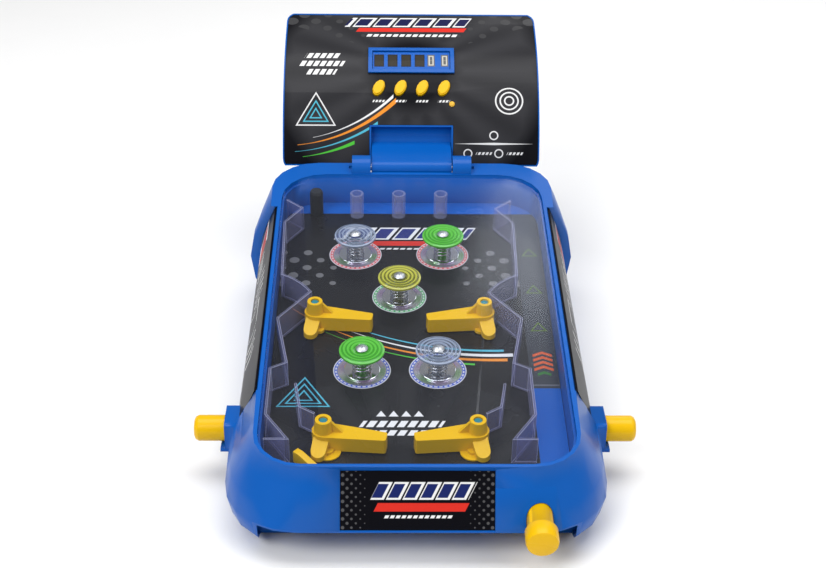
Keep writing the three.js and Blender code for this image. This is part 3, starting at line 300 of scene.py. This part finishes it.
BLUE = colour(0.001, 0.094, 0.42)
YELLOW = colour(0.77, 0.45, 0.001)
blue_plastic = moulded("satin_blue_plastic", BLUE, 0.3, 0.012, 0.88)
yellow_plastic = moulded("glossy_yellow_plastic", YELLOW, 0.28, 0.008, 0.92)
grey_plastic = moulded("dark_grey_plastic", colour(0.02, 0.022, 0.027), 0.45, 0.02, 0.8)
black_plastic = moulded("black_plastic", colour(0.006, 0.006, 0.008), 0.35, 0.01, 0.8)
board_green = moulded("board_green", colour(0.02, 0.14, 0.05), 0.5, 0.01, 0.85)
cell_sleeve = moulded("cell_sleeve", colour(0.03, 0.03, 0.036), 0.3, 0.004, 0.8)
lamp_amber = moulded("lamp_amber", colour(0.8, 0.45, 0.05), 0.2, 0.004, 0.9)
floor_white = moulded("floor_white", colour(0.86, 0.86, 0.86), 0.75, 0.05, 0.98)
floor.data.materials.append(floor_white)
print("plastics made")

# %% [markdown]
# The springs are drawn steel wire and the small plates are plated: bright, nearly white metal with the
# faint lines that drawing and polishing leave.

# %% Metals
def bright_metal(name, tint, rough, stretch):
    metal = Finish(name, Metallic=1.0)
    lines = metal.noise(220, 2, stretch)
    metal.feed(Base_Color=metal.mix(tuple(c * 0.86 for c in tint[:3]) + (1.0,), tint, lines),
               Roughness=lines * 0.1 + (rough - 0.05))
    metal.grain(420, 0.004, 2, stretch)
    return metal.material


spring_wire = bright_metal("spring_wire", colour(0.62, 0.63, 0.65), 0.22, (1, 1, 4))
plated = bright_metal("plated_metal", colour(0.83, 0.84, 0.86), 0.12, (1, 5, 1))
screw_metal = bright_metal("screw_metal", colour(0.66, 0.67, 0.68), 0.42, (1, 1, 1))
print("metals made")

# %% [markdown]
# Printed shapes are all made the same way: a distance that is above zero inside the shape, then a soft
# edge. Two shapes overlap where the smaller distance is above zero, and join where the larger one is.

# %% Printed shapes
def distance(u, v, a, b):
    du, dv = u - a, v - b
    return (du * du + dv * dv).math("SQRT")


def band(value, low, high):
    return (high - low) / 2 - abs(value - (high + low) / 2)


def patch(u, v, u0, u1, v0, v1):
    return band(u, u0, u1).low(band(v, v0, v1))


def arrowhead(u, v, a, b, size):
    """A triangle pointing up, as wide as twice its size."""
    lean = size * 0.55 - abs(u - a) * 0.87 - (v - b) * 0.5
    return lean.low(v - b + size * 0.5)


def outline(shape, width):
    return shape.low(width - shape)


def chevron(u, v, a, b, half, thick):
    return (thick / 2 - abs(v - b + abs(u - a) * 0.5)).low(half - abs(u - a))


def slanted_bars(u, v, u0, u1, v0, v1, pitch, share, lean=0.5):
    along = u - (v - v0) * lean
    bars = share / 2 - abs((along / pitch).part() - 0.5)
    return (bars * pitch).low(patch(along, v, u0, u1, v0, v1))


def dot_lattice(u, v, pitch, radius):
    a, b = ((u + v) / pitch).part() - 0.5, ((u - v) / pitch).part() - 0.5
    return radius - (a * a + b * b).math("SQRT") * (pitch * 0.7071)


def trail(u, v, a, b, radius, width, u0, u1):
    """A stretch of a big ring that tapers towards its low end."""
    taper = ((u - u0) / (u1 - u0)).math("MAXIMUM", 0.12) * width
    return (taper - abs(distance(u, v, a, b) - radius)).low(band(u, u0, u1))


print("print helpers ready")

# %% [markdown]
# Clear plastic in a thin wall is mostly see-through, and what the eye reads is the light caught by its
# cut edges and its glancing faces. A see-through shader is mixed with a glossy one by the viewing grade,
# raised to its fifth power as in the usual rule for gloss, on both sides of a wall alike. The narrow
# bevels along the guides' edges get a brighter, more opaque plastic of their own: a painted highlight
# for the light those cut edges catch.

# %% Clear plastics
def clear_plastic(name, tint, body, gain, rough=0.1, **plain):
    clear = Finish(name, Roughness=rough, IOR=1.49, Base_Color=tint, **plain)
    clear.grain(60, 0.006, 1)
    facing = clear.node("ShaderNodeLayerWeight", None, {"Blend": 0.5}, "Facing")
    grade = facing.math("POWER", 5) * 0.96 + 0.04
    return clear, grade * gain + clear.noise(25, 2) * (body * 0.3) + body * 0.85


def see_through(clear, amount, veil=(0.97, 0.98, 1.0, 1.0)):
    through = clear.tree.nodes.new("ShaderNodeBsdfTransparent")
    through.inputs["Color"].default_value = veil
    blend = clear.node("ShaderNodeMixShader", None, [amount.low(1.0), Wire(clear, through.outputs[0]),
                                                     Wire(clear, clear.shader.outputs[0])])
    clear.tree.links.new(blend.socket, clear.tree.nodes["Material Output"].inputs["Surface"])
    return clear.material


COVER_TINT = colour(0.82, 0.86, 0.94)
cover, film = clear_plastic("clear_cover_plastic", COVER_TINT, 0.009, 0.6, 0.14, Metallic=1.0)
cover_clear = see_through(cover, film)


WALL_VEIL = (0.93, 0.93, 1.0, 1.0)


def clear_wall(name, tint, body, gain, rough):
    clear, amount = clear_plastic(name, tint, body, gain, rough)
    return see_through(clear, amount, WALL_VEIL)


guide_clear = clear_wall("clear_guide_plastic", colour(0.34, 0.34, 0.55), 0.13, 1.1, 0.12)
# Painted highlight: the guides' edge bevels are drawn brighter and more opaque than the walls.
edge_highlight_clear = clear_wall("painted_edge_highlight_plastic", colour(0.66, 0.68, 0.88), 0.3, 1.0, 0.2)
post_clear = clear_wall("clear_post_plastic", colour(0.5, 0.52, 0.7), 0.16, 1.1, 0.12)
print("clear plastics made")

# %% [markdown]
# The bumper caps are see-through discs with thin rings moulded in, round a grey screw. Light gathers in
# each ring, so the rings are drawn as lines of stronger colour and opacity, a painted highlight, by the
# distance from the nearest bumper; the outer rim is made more opaque as a painted highlight too.

# %% Bumper caps
BUMPERS = [(-41.5, 254.3), (21.9, 254.3), (-9.8, 202.0), (-34.8, 119.9), (15.2, 119.9)]


def ringed_cap(name, tint, ring_highlight_tint, body, lines):
    cap, amount = clear_plastic(name, tint, body, 0.7, 0.16)
    u, v, w = cap.field_place()
    out = distance(u, v, *BUMPERS[0])
    for a, b in BUMPERS[1:]:
        out = out.low(distance(u, v, a, b))
    rings = (0.5 - abs((out / 2.6).part() - 0.5) * 2).edge(0.5) * (out - 4.6).edge(0.3)
    cap.feed(Base_Color=cap.mix(tint, ring_highlight_tint, rings))
    # The rings and the rim are painted highlights: stronger colour and less see-through where light gathers.
    return see_through(cap, amount + rings * lines + (out - 14.1).edge(0.3) * (lines * 0.8))


cap_pale = ringed_cap("pale_cap_plastic", colour(0.14, 0.18, 0.25), colour(0.34, 0.4, 0.52), 0.22, 0.32)
cap_green = ringed_cap("green_cap_plastic", colour(0.04, 0.33, 0.01), colour(0.1, 0.5, 0.04), 0.82, 0.14)
cap_yellow = ringed_cap("yellow_cap_plastic", colour(0.2, 0.2, 0.01), colour(0.5, 0.49, 0.06), 0.5, 0.4)
print("caps made")

# %% [markdown]
# The playfield is black board with a bright print. The design here is a plain one of its own: slanted
# title bars, dot fields, light trails, rays and small arrowheads, with a coloured ring of tick marks
# round each bumper. Every shape is worked out in the playfield's frame, so nothing can slide.

# %% Playfield print
RING_TINTS = [colour(0.62, 0.05, 0.07), colour(0.62, 0.05, 0.07), colour(0.06, 0.38, 0.12),
              colour(0.05, 0.1, 0.5), colour(0.05, 0.1, 0.5)]
WHITE, RED = colour(0.72, 0.72, 0.72), colour(0.6, 0.03, 0.02)
CYAN, ORANGE, GREEN = colour(0.08, 0.42, 0.55), colour(0.75, 0.25, 0.03), colour(0.08, 0.5, 0.05)
print_board = Finish("playfield_print", Specular_IOR_Level=0.3)
u, v, w = print_board.field_place()
layers = []
around = (u + 9.8).math("ARCTAN2", v - 8)
reach = distance(u, v, -9.8, 8)
rays = (around * 24).math("SINE") - 0.25
layers.append((colour(0.022, 0.022, 0.024), (rays * 3).low(reach - 42).low(104 - reach).edge(14)))
dots = dot_lattice(u, v, 19, (abs(u + 9.8) - 42) * 0.045 + 2.1)
dot_zone = patch(u, v, -96, 78, 212, 262).low(abs(u + 9.8) - 42).low(30 - abs(v - 238) + abs(u + 9.8) * 0.15)
layers.append((colour(0.13, 0.13, 0.135), dots.low(dot_zone).edge(0.25)))
layers.append((WHITE, slanted_bars(u, v, -58, 40, 274, 290, 16.3, 0.86).edge(0.3)))
layers.append((colour(0.02, 0.03, 0.16), slanted_bars(u, v, -58, 40, 275.6, 288.4, 16.3, 0.62).edge(0.3)))
layers.append((RED, slanted_bars(u, v, -50, 34, 266, 272, 90, 1.4).edge(0.3)))
layers.append((WHITE, slanted_bars(u, v, -38, 22, 261, 263, 5, 0.7).edge(0.3)))
for radius, width, tint, start, stop in ((181, 1.1, CYAN, -80, 60), (186, 1.7, WHITE, -60, 66),
                                         (191, 1.5, ORANGE, -84, 62), (196, 0.9, GREEN, -70, 40)):
    layers.append((tint, trail(u, v, 52, 322, radius, width, start, stop).edge(0.3)))
for size in (19, 13, 7):
    layers.append((CYAN, outline(arrowhead(u, v, -72, 92, size), 1.0).edge(0.3)))
for step in range(4):
    layers.append((WHITE, arrowhead(u, v, -22 + 8 * step, 75, 3.4).edge(0.3)))
layers.append((WHITE, slanted_bars(u, v, -36, 16, 63, 69, 6.5, 0.7).edge(0.3)))
layers.append((WHITE, slanted_bars(u, v, -28, 6, 55, 60, 6.5, 0.7).edge(0.3)))
TICKS_PER_RADIAN = 5.09
foil = None
for (a, b), tint in zip(BUMPERS, RING_TINTS):
    out = distance(u, v, a, b)
    turned = (u - a).math("ARCTAN2", v - b)
    ticks = 0.5 - abs((turned * TICKS_PER_RADIAN).part() - 0.5) - 0.2
    layers.append((colour(0.62, 0.62, 0.66), (19 - out).edge(0.3)))
    wedge = turned * 3
    green_sheen = (wedge + a).math("SINE") - 0.25
    violet_sheen = (wedge + (a + 2.4)).math("SINE") - 0.35
    layers.append((colour(0.3, 0.46, 0.27), green_sheen.low(15.6 - out).edge(1.4)))
    layers.append((colour(0.46, 0.36, 0.52), violet_sheen.low(15.6 - out).edge(1.4)))
    layers.append((tint, band(out, 16.2, 18.3).edge(0.3)))
    layers.append((WHITE, band(out, 16.7, 17.6).low(ticks * 3).edge(0.3)))
    disc_mask = (16.2 - out).edge(0.3)
    foil = disc_mask if foil is None else foil + disc_mask
lane = u - 76
layers.append((colour(0.035, 0.04, 0.05), lane.edge(0.3)))
for place in (166, 210, 256):
    layers.append((colour(0.09, 0.16, 0.02), outline(arrowhead(u, v, 85.5, place, 6.5), 1.0).edge(0.3)))
for step in range(4):
    layers.append((colour(0.62, 0.1, 0.025), chevron(u, v, 85.5, 124 + 5 * step, 6.4, 2.6).edge(0.3)))
layers.append((colour(0.03, 0.16, 0.03), chevron(u, v, 85.5, 118, 4.4, 2.6).edge(0.3)))
layers.append((colour(0.12, 0.13, 0.15), lane.low(band(v, 104, 105.5)).edge(0.3)))
layers.append((BLUE, lane.low(101.5 - v).edge(0.3)))
layers.append((BLUE, (v - 309).edge(0.3)))
board_colour = print_board.printed(colour(0.008, 0.008, 0.01), layers)
post_mask = (w - 1).edge(0.3)
under_mask = (-w - 0.6).edge(0.3)
board_colour = print_board.mix(board_colour, colour(0.02, 0.2, 0.24), post_mask)
board_colour = print_board.mix(board_colour, colour(0.02, 0.02, 0.025), under_mask)
gloss = print_board.noise(30, 2)
print_board.feed(Base_Color=board_colour, Roughness=gloss * 0.12 + 0.2, Metallic=foil * 0.75)
print_board.grain(700, 0.004, 2)
print("playfield print layers", len(layers))

# %% [markdown]
# The scoreboard's face is bent round an arc. Measuring the print along the arc, as angle times radius,
# lays it on the curve without stretching, the way a real decal sits.

# %% Scoreboard print
HEAD_Y, HEAD_Z, HEAD_RADIUS = 452.7, 65.3, 107


def face_place(finish):
    x, y, z = finish.place()
    level = HEAD_Y - (y - TABLE_SHIFT)
    return x, (z - HEAD_Z).math("ARCTAN2", level) * HEAD_RADIUS


face_print = Finish("scoreboard_print", Specular_IOR_Level=0.08)
u, s = face_place(face_print)
layers = []
around = u.math("ARCTAN2", s * -1 + 104)
reach = distance(u, s, 0, 104)
rays = (around * 17).math("SINE") - 0.15
layers.append((colour(0.055, 0.055, 0.06), (rays * 3).low(reach - 40).low(96 - reach).edge(26)))
dots = dot_lattice(u, s, 19, abs(u) * 0.06 - 0.6)
layers.append((colour(0.045, 0.045, 0.048), dots.low(abs(u) - 33).low(s - 112 - abs(u) * 0.46).edge(0.4)))
layers.append((WHITE, slanted_bars(u, s, -53, 43, 154, 167, 16, 0.86).edge(0.3)))
layers.append((colour(0.01, 0.012, 0.06), slanted_bars(u, s, -53, 43, 155.6, 165.4, 16, 0.64).edge(0.3)))
layers.append((RED, slanted_bars(u, s, -44, 42, 147.4, 152.6, 90, 1.4).edge(0.3)))
layers.append((WHITE, slanted_bars(u, s, -36, 36, 141.2, 144.2, 5.2, 0.7).edge(0.3)))
for row, (start, stop) in enumerate(((-84, -58), (-88, -54), (-82, -60))):
    low = 116 - 8 * row
    layers.append((WHITE, slanted_bars(u, s, start, stop, low, low + 5, 5.2, 0.7).edge(0.3)))
for radius, width, tint, start, stop in ((126, 1.6, ORANGE, -88, -12), (122, 1.0, WHITE, -76, -14),
                                         (131, 1.0, CYAN, -90, -26), (135.5, 1.3, GREEN, -84, -44)):
    layers.append((tint, trail(u, s, -100, 168, radius, width, start, stop).edge(0.3)))
for size in (17, 11, 5.5):
    layers.append((CYAN if size < 16 else WHITE, outline(arrowhead(u, s, -74, 66, size), 0.9).edge(0.3)))
for radius in (11, 7.5, 4):
    layers.append((WHITE, band(distance(u, s, 76, 78), radius - 1.1, radius).edge(0.3)))
layers.append((WHITE, (0.9 - abs(s - 44) - abs(u - 64) * 0.03).low(30 - abs(u - 64)).edge(0.3)))
for a, b in ((64, 50.5), (44, 36.5), (68, 36.5)):
    layers.append((WHITE, band(distance(u, s, a, b), 2.6, 3.5).edge(0.3)))
for a in (44, 68):
    layers.append((WHITE, slanted_bars(u, s, a + 6, a + 18, 35.5, 37.5, 3, 0.6).edge(0.3)))
for step in range(4):
    a = (step - 1.5) * 16.9
    layers.append((WHITE, slanted_bars(u, s, a - 5, a + 4, 76.5, 78.3, 2.6, 0.62).edge(0.3)))
face_colour = face_print.printed(colour(0.006, 0.006, 0.008), layers)
gloss = face_print.noise(20, 2)
face_print.feed(Base_Color=face_colour, Roughness=gloss * 0.1 + 0.17)
face_print.grain(500, 0.004, 2)
print("scoreboard print layers", len(layers))

# %% [markdown]
# The display sits behind a blue frame: four dark counter windows, and a lit pair that both read nought.
# A digit made of strokes is only a ring with square corners once it shows nought, so the outline of one
# patch draws it, with a faint unlit stroke across its middle.

# %% Display windows
display_face = Finish("display_face", Specular_IOR_Level=0.14)
u, s = face_place(display_face)
screen = display_face.mix(BLUE, colour(0.01, 0.09, 0.42), display_face.noise(20, 2))
for step in range(4):
    a = -25.2 + 10.6 * step
    screen = display_face.printed(screen, [
        (colour(0.006, 0.006, 0.007), patch(u, s, a - 3.9, a + 3.9, 107.4, 119.8).edge(0.4)),
        (colour(0.02, 0.016, 0.01), patch(u, s, a - 3.1, a + 3.1, 108.4, 118.8).edge(0.4)),
    ])
for a in (15.6, 26.2):
    screen = display_face.printed(screen, [
        (colour(0.1, 0.1, 0.1), patch(u, s, a - 2.9, a + 2.9, 107.8, 119.6).edge(0.4)),
        (colour(0.5, 0.48, 0.42), outline(patch(u, s, a - 2.0, a + 2.0, 108.8, 118.6), 1.0).edge(0.3)),
        (colour(0.2, 0.19, 0.16), patch(u, s, a - 1.0, a + 1.0, 113.3, 114.1).edge(0.3)),
    ])
display_face.feed(Base_Color=screen, Roughness=display_face.noise(40, 2) * 0.1 + 0.2)
display_face.grain(500, 0.003, 2)
print("display windows", 6)

# %% [markdown]
# The front panel and the two side panels are laminated stickers. Each carries the same family of slanted
# bars, lines and dots as the playfield, at its own scale. On the side panels the black turns grey towards
# the lower, outer bulge, a painted reflection.

# %% Front and side panels
LABEL_RISE = math.atan2(30, 16.5)
front_print = Finish("front_panel_print", Specular_IOR_Level=0.06)
u, y, z = front_print.place()
t = (y - TABLE_SHIFT + 9.75) * math.cos(LABEL_RISE) + (z - 40) * math.sin(LABEL_RISE)
layers = [
    (colour(0.075, 0.075, 0.08), dot_lattice(u, t, 5.2, (abs(u) - 24) * 0.05).low(abs(u) - 29).edge(0.3)),
    (WHITE, slanted_bars(u, t, -28, 30, 1, 11.5, 9.7, 0.88).edge(0.3)),
    (colour(0.012, 0.02, 0.11), slanted_bars(u, t, -28, 30, 2.1, 10.4, 9.7, 0.64).edge(0.3)),
    (RED, slanted_bars(u, t, -26, 28, -6, -1, 90, 1.4).edge(0.3)),
    (WHITE, slanted_bars(u, t, -20, 20, -10, -8.3, 3.4, 0.68).edge(0.3)),
]
front_colour = front_print.printed(colour(0.004, 0.004, 0.006), layers)
front_print.feed(Base_Color=front_colour, Roughness=front_print.noise(25, 2) * 0.1 + 0.16)
front_print.grain(500, 0.004, 2)

side_print = Finish("side_panel_print", Specular_IOR_Level=0.03)
_, v, w = side_print.field_place()
# Painted reflection: the label's black turns grey towards its lower, outer bulge.
side_colour = side_print.mix(colour(0.004, 0.004, 0.007), colour(0.1, 0.1, 0.11), (-6 - w).edge(22))
layers = [
    (WHITE, slanted_bars(v, w, 118, 146, -6, 10, 9, 0.2, 0.7).edge(0.3)),
    (WHITE, outline(slanted_bars(v, w, 150, 178, -8, 9, 28, 1.2, 0.7), 1.1).edge(0.3)),
    (WHITE, slanted_bars(v, w, 184, 214, -4, 12, 7.5, 0.22, 0.7).edge(0.3)),
    (WHITE, slanted_bars(v, w, 222, 246, -6, 5, 6, 0.3, 0.7).edge(0.3)),
    (WHITE, slanted_bars(v, w, 250, 276, -10, 8, 26, 1.2, 0.7).edge(0.3)),
    (colour(0.42, 0.03, 0.02), slanted_bars(v, w, 251.5, 274.5, -8.4, 6.4, 23, 1.2, 0.7).edge(0.3)),
]
side_colour = side_print.printed(side_colour, layers)
side_print.feed(Base_Color=side_colour, Roughness=side_print.noise(25, 2) * 0.1 + 0.25)
side_print.grain(500, 0.004, 2)
print("panels printed")

# %% [markdown]
# Every working node gets its finish by name. Where several nodes are alike, the part of the name before
# the number decides.

# %% Give every node its finish
FINISHES = {
    "top_shell": blue_plastic, "base_plate": blue_plastic, "battery_door": blue_plastic,
    "head_shell": blue_plastic, "display_bezel": blue_plastic, "head_face": face_print.material,
    "digit_display": display_face.material, "front_label": front_print.material,
    "side_label": side_print.material, "playfield": print_board.material, "clear_cover": cover_clear,
    "side_guide": guide_clear, "inlane_guide": guide_clear, "lane_post": post_clear,
    "flipper": yellow_plastic, "flipper_button": yellow_plastic, "plunger": yellow_plastic,
    "drain_deflector": yellow_plastic, "score_button": yellow_plastic, "lamp_lens": lamp_amber,
    "dark_post": grey_plastic, "link_bar": grey_plastic, "speaker": grey_plastic,
    "power_switch": black_plastic, "battery": cell_sleeve, "circuit_board": board_green,
    "bumper_plate": plated, "steel_ball": plated, "bumper_spring": spring_wire,
    "return_spring": spring_wire, "plunger_spring": spring_wire, "hinge_pin": spring_wire,
}
CAPS = {"1": cap_pale, "2": cap_green, "3": cap_yellow, "4": cap_green, "5": cap_pale}


def finish_of(name):
    if name.startswith("bumper_cap"):
        return CAPS[name[-1]]
    plain = name.rstrip("0123456789").rstrip("_")
    for _ in range(3):
        if plain in FINISHES:
            return FINISHES[plain]
        plain = plain.partition("_")[2]
    raise KeyError(name)


for name, node in nodes.items():
    node.data.materials.clear()
    node.data.materials.append(finish_of(name))
print("finished nodes", len(nodes))

# %% [markdown]
# The model's meshes are loose triangles with flat faces, which is right for measuring and wrong for
# shine. A merged copy shaded smooth by angle keeps crisp edges crisp and lets round forms read round.
# Each copy stands for its node and rides on the same body. Where a bevel rounds its edges, weighted
# normals keep the flats flat, and on the clear guides the bevel carries the brighter edge plastic, a
# painted highlight.

# %% Smooth skins
BODIES = {node: body for body, members in frame["record"]["behaviour"]["bodies"].items() for node in members}


BEVEL_SEGMENTS = 2


def smooth_skin(name, angle=32, bevel=0.0, edge_material=None):
    deselect()
    node = nodes[name]
    node.select_set(True)
    bpy.context.view_layer.objects.active = node
    bpy.ops.object.duplicate()
    skin = bpy.context.active_object
    skin.name = skin.data.name = name + "_skin"
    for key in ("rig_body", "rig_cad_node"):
        if key in skin:
            del skin[key]
    skin.parent = None
    bpy.ops.object.mode_set(mode="EDIT")
    bpy.ops.mesh.select_all(action="SELECT")
    bpy.ops.mesh.remove_doubles(threshold=0.000005)
    bpy.ops.mesh.dissolve_limited(angle_limit=math.radians(1))
    bpy.ops.object.mode_set(mode="OBJECT")
    if bevel:
        rounding = skin.modifiers.new("rounding", "BEVEL")
        rounding.width, rounding.segments = bevel / 1000, BEVEL_SEGMENTS
        rounding.limit_method, rounding.angle_limit = "ANGLE", math.radians(angle)
        if edge_material:
            skin.data.materials.append(edge_material)
            rounding.material = 1
        bpy.ops.object.modifier_apply(modifier="rounding")
    bpy.ops.object.shade_smooth_by_angle(angle=math.radians(angle))
    if bevel:
        flats = skin.modifiers.new("flats", "WEIGHTED_NORMAL")
        flats.weight, flats.keep_sharp = 100, True
        bpy.ops.object.modifier_apply(modifier="flats")
    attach(skin, BODIES[name])
    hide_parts(name)
    return skin


ROUNDED = {"flipper": 0.5, "drain_deflector": 0.5, "side_guide": 0.35, "inlane_guide": 0.35,
           "score_button": 0.3, "display_bezel": 0.3, "clear_cover": 0.3}
skins = {}
for name in nodes:
    plain = name.rstrip("0123456789").rstrip("_")
    if plain.endswith("spring") or plain in ("circuit_board", "battery_door", "base_plate", "digit_display"):
        continue
    bevel = next((size for key, size in ROUNDED.items() if plain.endswith(key)), 0.0)
    skins[name] = smooth_skin(name, bevel=bevel, edge_material=edge_highlight_clear if "guide" in name else None)
print("smooth skins", len(skins))

# %% [markdown]
# Towards its top the real scoreboard stands a little taller and runs a little further back than the
# working model does. Both skins are drawn out there, more and more by the angle round the face's arc.

# %% Draw out the scoreboard's crown
CROWN_START, CROWN_END, CROWN_RISE, CROWN_DEPTH = math.radians(68), math.radians(86), 0.0048, 0.012
for name in ("head_shell", "head_face"):
    for corner in skins[name].data.vertices:
        level = HEAD_Y / 1000 - (corner.co.y - TABLE_SHIFT / 1000)
        turned = math.atan2(corner.co.z - HEAD_Z / 1000, level)
        drawn = max(0.0, (turned - CROWN_START) / (CROWN_END - CROWN_START))
        corner.co.y += CROWN_DEPTH * drawn
        corner.co.z += CROWN_RISE * drawn
    skins[name].data.update()
print("crown raised by", CROWN_RISE)

# %% [markdown]
# The bumper springs show bright under the caps. A fine round coil is a wire section swept by a Screw
# modifier; one is modelled and copied, each copy with a mesh of its own.

# %% Bumper springs
SPRING_RADIUS, SPRING_WIRE, SPRING_TURNS, SPRING_LOW, SPRING_HIGH = 6.0, 0.9, 5, 1.4, 14.8


def wound_spring():
    deselect()
    start = (SPRING_RADIUS / 1000, 0, (SPRING_LOW + SPRING_WIRE / 2) / 1000)
    bpy.ops.mesh.primitive_circle_add(vertices=10, radius=SPRING_WIRE / 2000,
                                      rotation=(math.pi / 2, 0, 0), location=start)
    spring = bpy.context.active_object
    bpy.ops.object.transform_apply(location=True, rotation=True, scale=True)
    sweep = spring.modifiers.new("sweep", "SCREW")
    sweep.steps = sweep.render_steps = 28
    sweep.iterations = SPRING_TURNS
    sweep.screw_offset = (SPRING_HIGH - SPRING_LOW - SPRING_WIRE) / 1000 / SPRING_TURNS
    bpy.ops.object.modifier_apply(modifier="sweep")
    bpy.ops.object.mode_set(mode="EDIT")
    bpy.ops.mesh.select_all(action="DESELECT")
    bpy.ops.mesh.select_mode(type="EDGE")
    bpy.ops.mesh.select_non_manifold()
    bpy.ops.mesh.edge_face_add()
    bpy.ops.mesh.select_all(action="SELECT")
    bpy.ops.mesh.normals_make_consistent(inside=False)
    bpy.ops.object.mode_set(mode="OBJECT")
    bpy.ops.object.shade_smooth()
    spring.data.materials.append(spring_wire)
    return spring


def copy_at(piece, name, x, y):
    twin = piece.copy()
    twin.data = piece.data.copy()
    twin.name = twin.data.name = name
    bpy.context.scene.collection.objects.link(twin)
    twin.data.transform(field_frame @ Matrix.Translation((x / 1000, y / 1000, 0)))
    return twin


pattern_spring = wound_spring()
for number, (x, y) in enumerate(BUMPERS, 1):
    spring = copy_at(pattern_spring, f"wound_spring_{number}", x, y)
    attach(spring, "table")
    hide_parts(f"bumper_spring_{number}")
bpy.data.objects.remove(pattern_spring)
print("bumper springs", len(BUMPERS))

# %% [markdown]
# The buttons and the plunger push against springs, which shorten as those move. Each gets a smooth copy
# with a mesh of its own.

# %% Smooth copies of the pressed springs
PRESSED_SPRINGS = (
    ("left_return_spring", "left_button_press", (1, 0, 0), 0.005),
    ("right_return_spring", "right_button_press", (-1, 0, 0), 0.005),
    ("plunger_spring", "plunger_pull", (0, -math.cos(SLOPE), -math.sin(SLOPE)), 0.011),
)
for name, joint, axis, travel in PRESSED_SPRINGS:
    spring = smooth_skin(name, angle=60)
    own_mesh(spring)

# %% [markdown]
# A domed screw holds each bumper cap. Its head is the top slice of a ball, with a crossed driver slot cut
# by two thin blades.

# %% Bumper screws
SCREW_BALL, SCREW_CUT, SCREW_SEAT = 0.0062, 0.0046, 0.0184


def cross_screw():
    deselect()
    bpy.ops.mesh.primitive_uv_sphere_add(segments=28, ring_count=14, radius=SCREW_BALL)
    screw = bpy.context.active_object
    bpy.ops.object.mode_set(mode="EDIT")
    bpy.ops.mesh.bisect(plane_co=(0, 0, SCREW_CUT), plane_no=(0, 0, 1), clear_inner=True, use_fill=True)
    bpy.ops.object.mode_set(mode="OBJECT")
    screw.data.transform(Matrix.Translation((0, 0, -SCREW_CUT)))
    for turned in (0, math.pi / 2):
        deselect()
        bpy.ops.mesh.primitive_cube_add(size=1, location=(0, 0, 0.0016), rotation=(0, 0, turned))
        blade = bpy.context.active_object
        blade.scale = (0.004, 0.0007, 0.0012)
        bpy.ops.object.transform_apply(location=True, rotation=True, scale=True)
        slot_cut = screw.modifiers.new("slot", "BOOLEAN")
        slot_cut.operation, slot_cut.object, slot_cut.solver = "DIFFERENCE", blade, "EXACT"
        bpy.context.view_layer.objects.active = screw
        bpy.ops.object.modifier_apply(modifier="slot")
        bpy.data.objects.remove(blade)
    deselect()
    screw.select_set(True)
    bpy.context.view_layer.objects.active = screw
    bpy.ops.object.shade_smooth_by_angle(angle=math.radians(35))
    screw.data.materials.append(screw_metal)
    return screw


pattern_screw = cross_screw()
pattern_screw.data.transform(Matrix.Translation((0, 0, SCREW_SEAT)))
for number, (x, y) in enumerate(BUMPERS, 1):
    screw = copy_at(pattern_screw, f"cap_screw_{number}", x, y)
    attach(screw, "table")
bpy.data.objects.remove(pattern_screw)
print("bumper screws", len(BUMPERS))
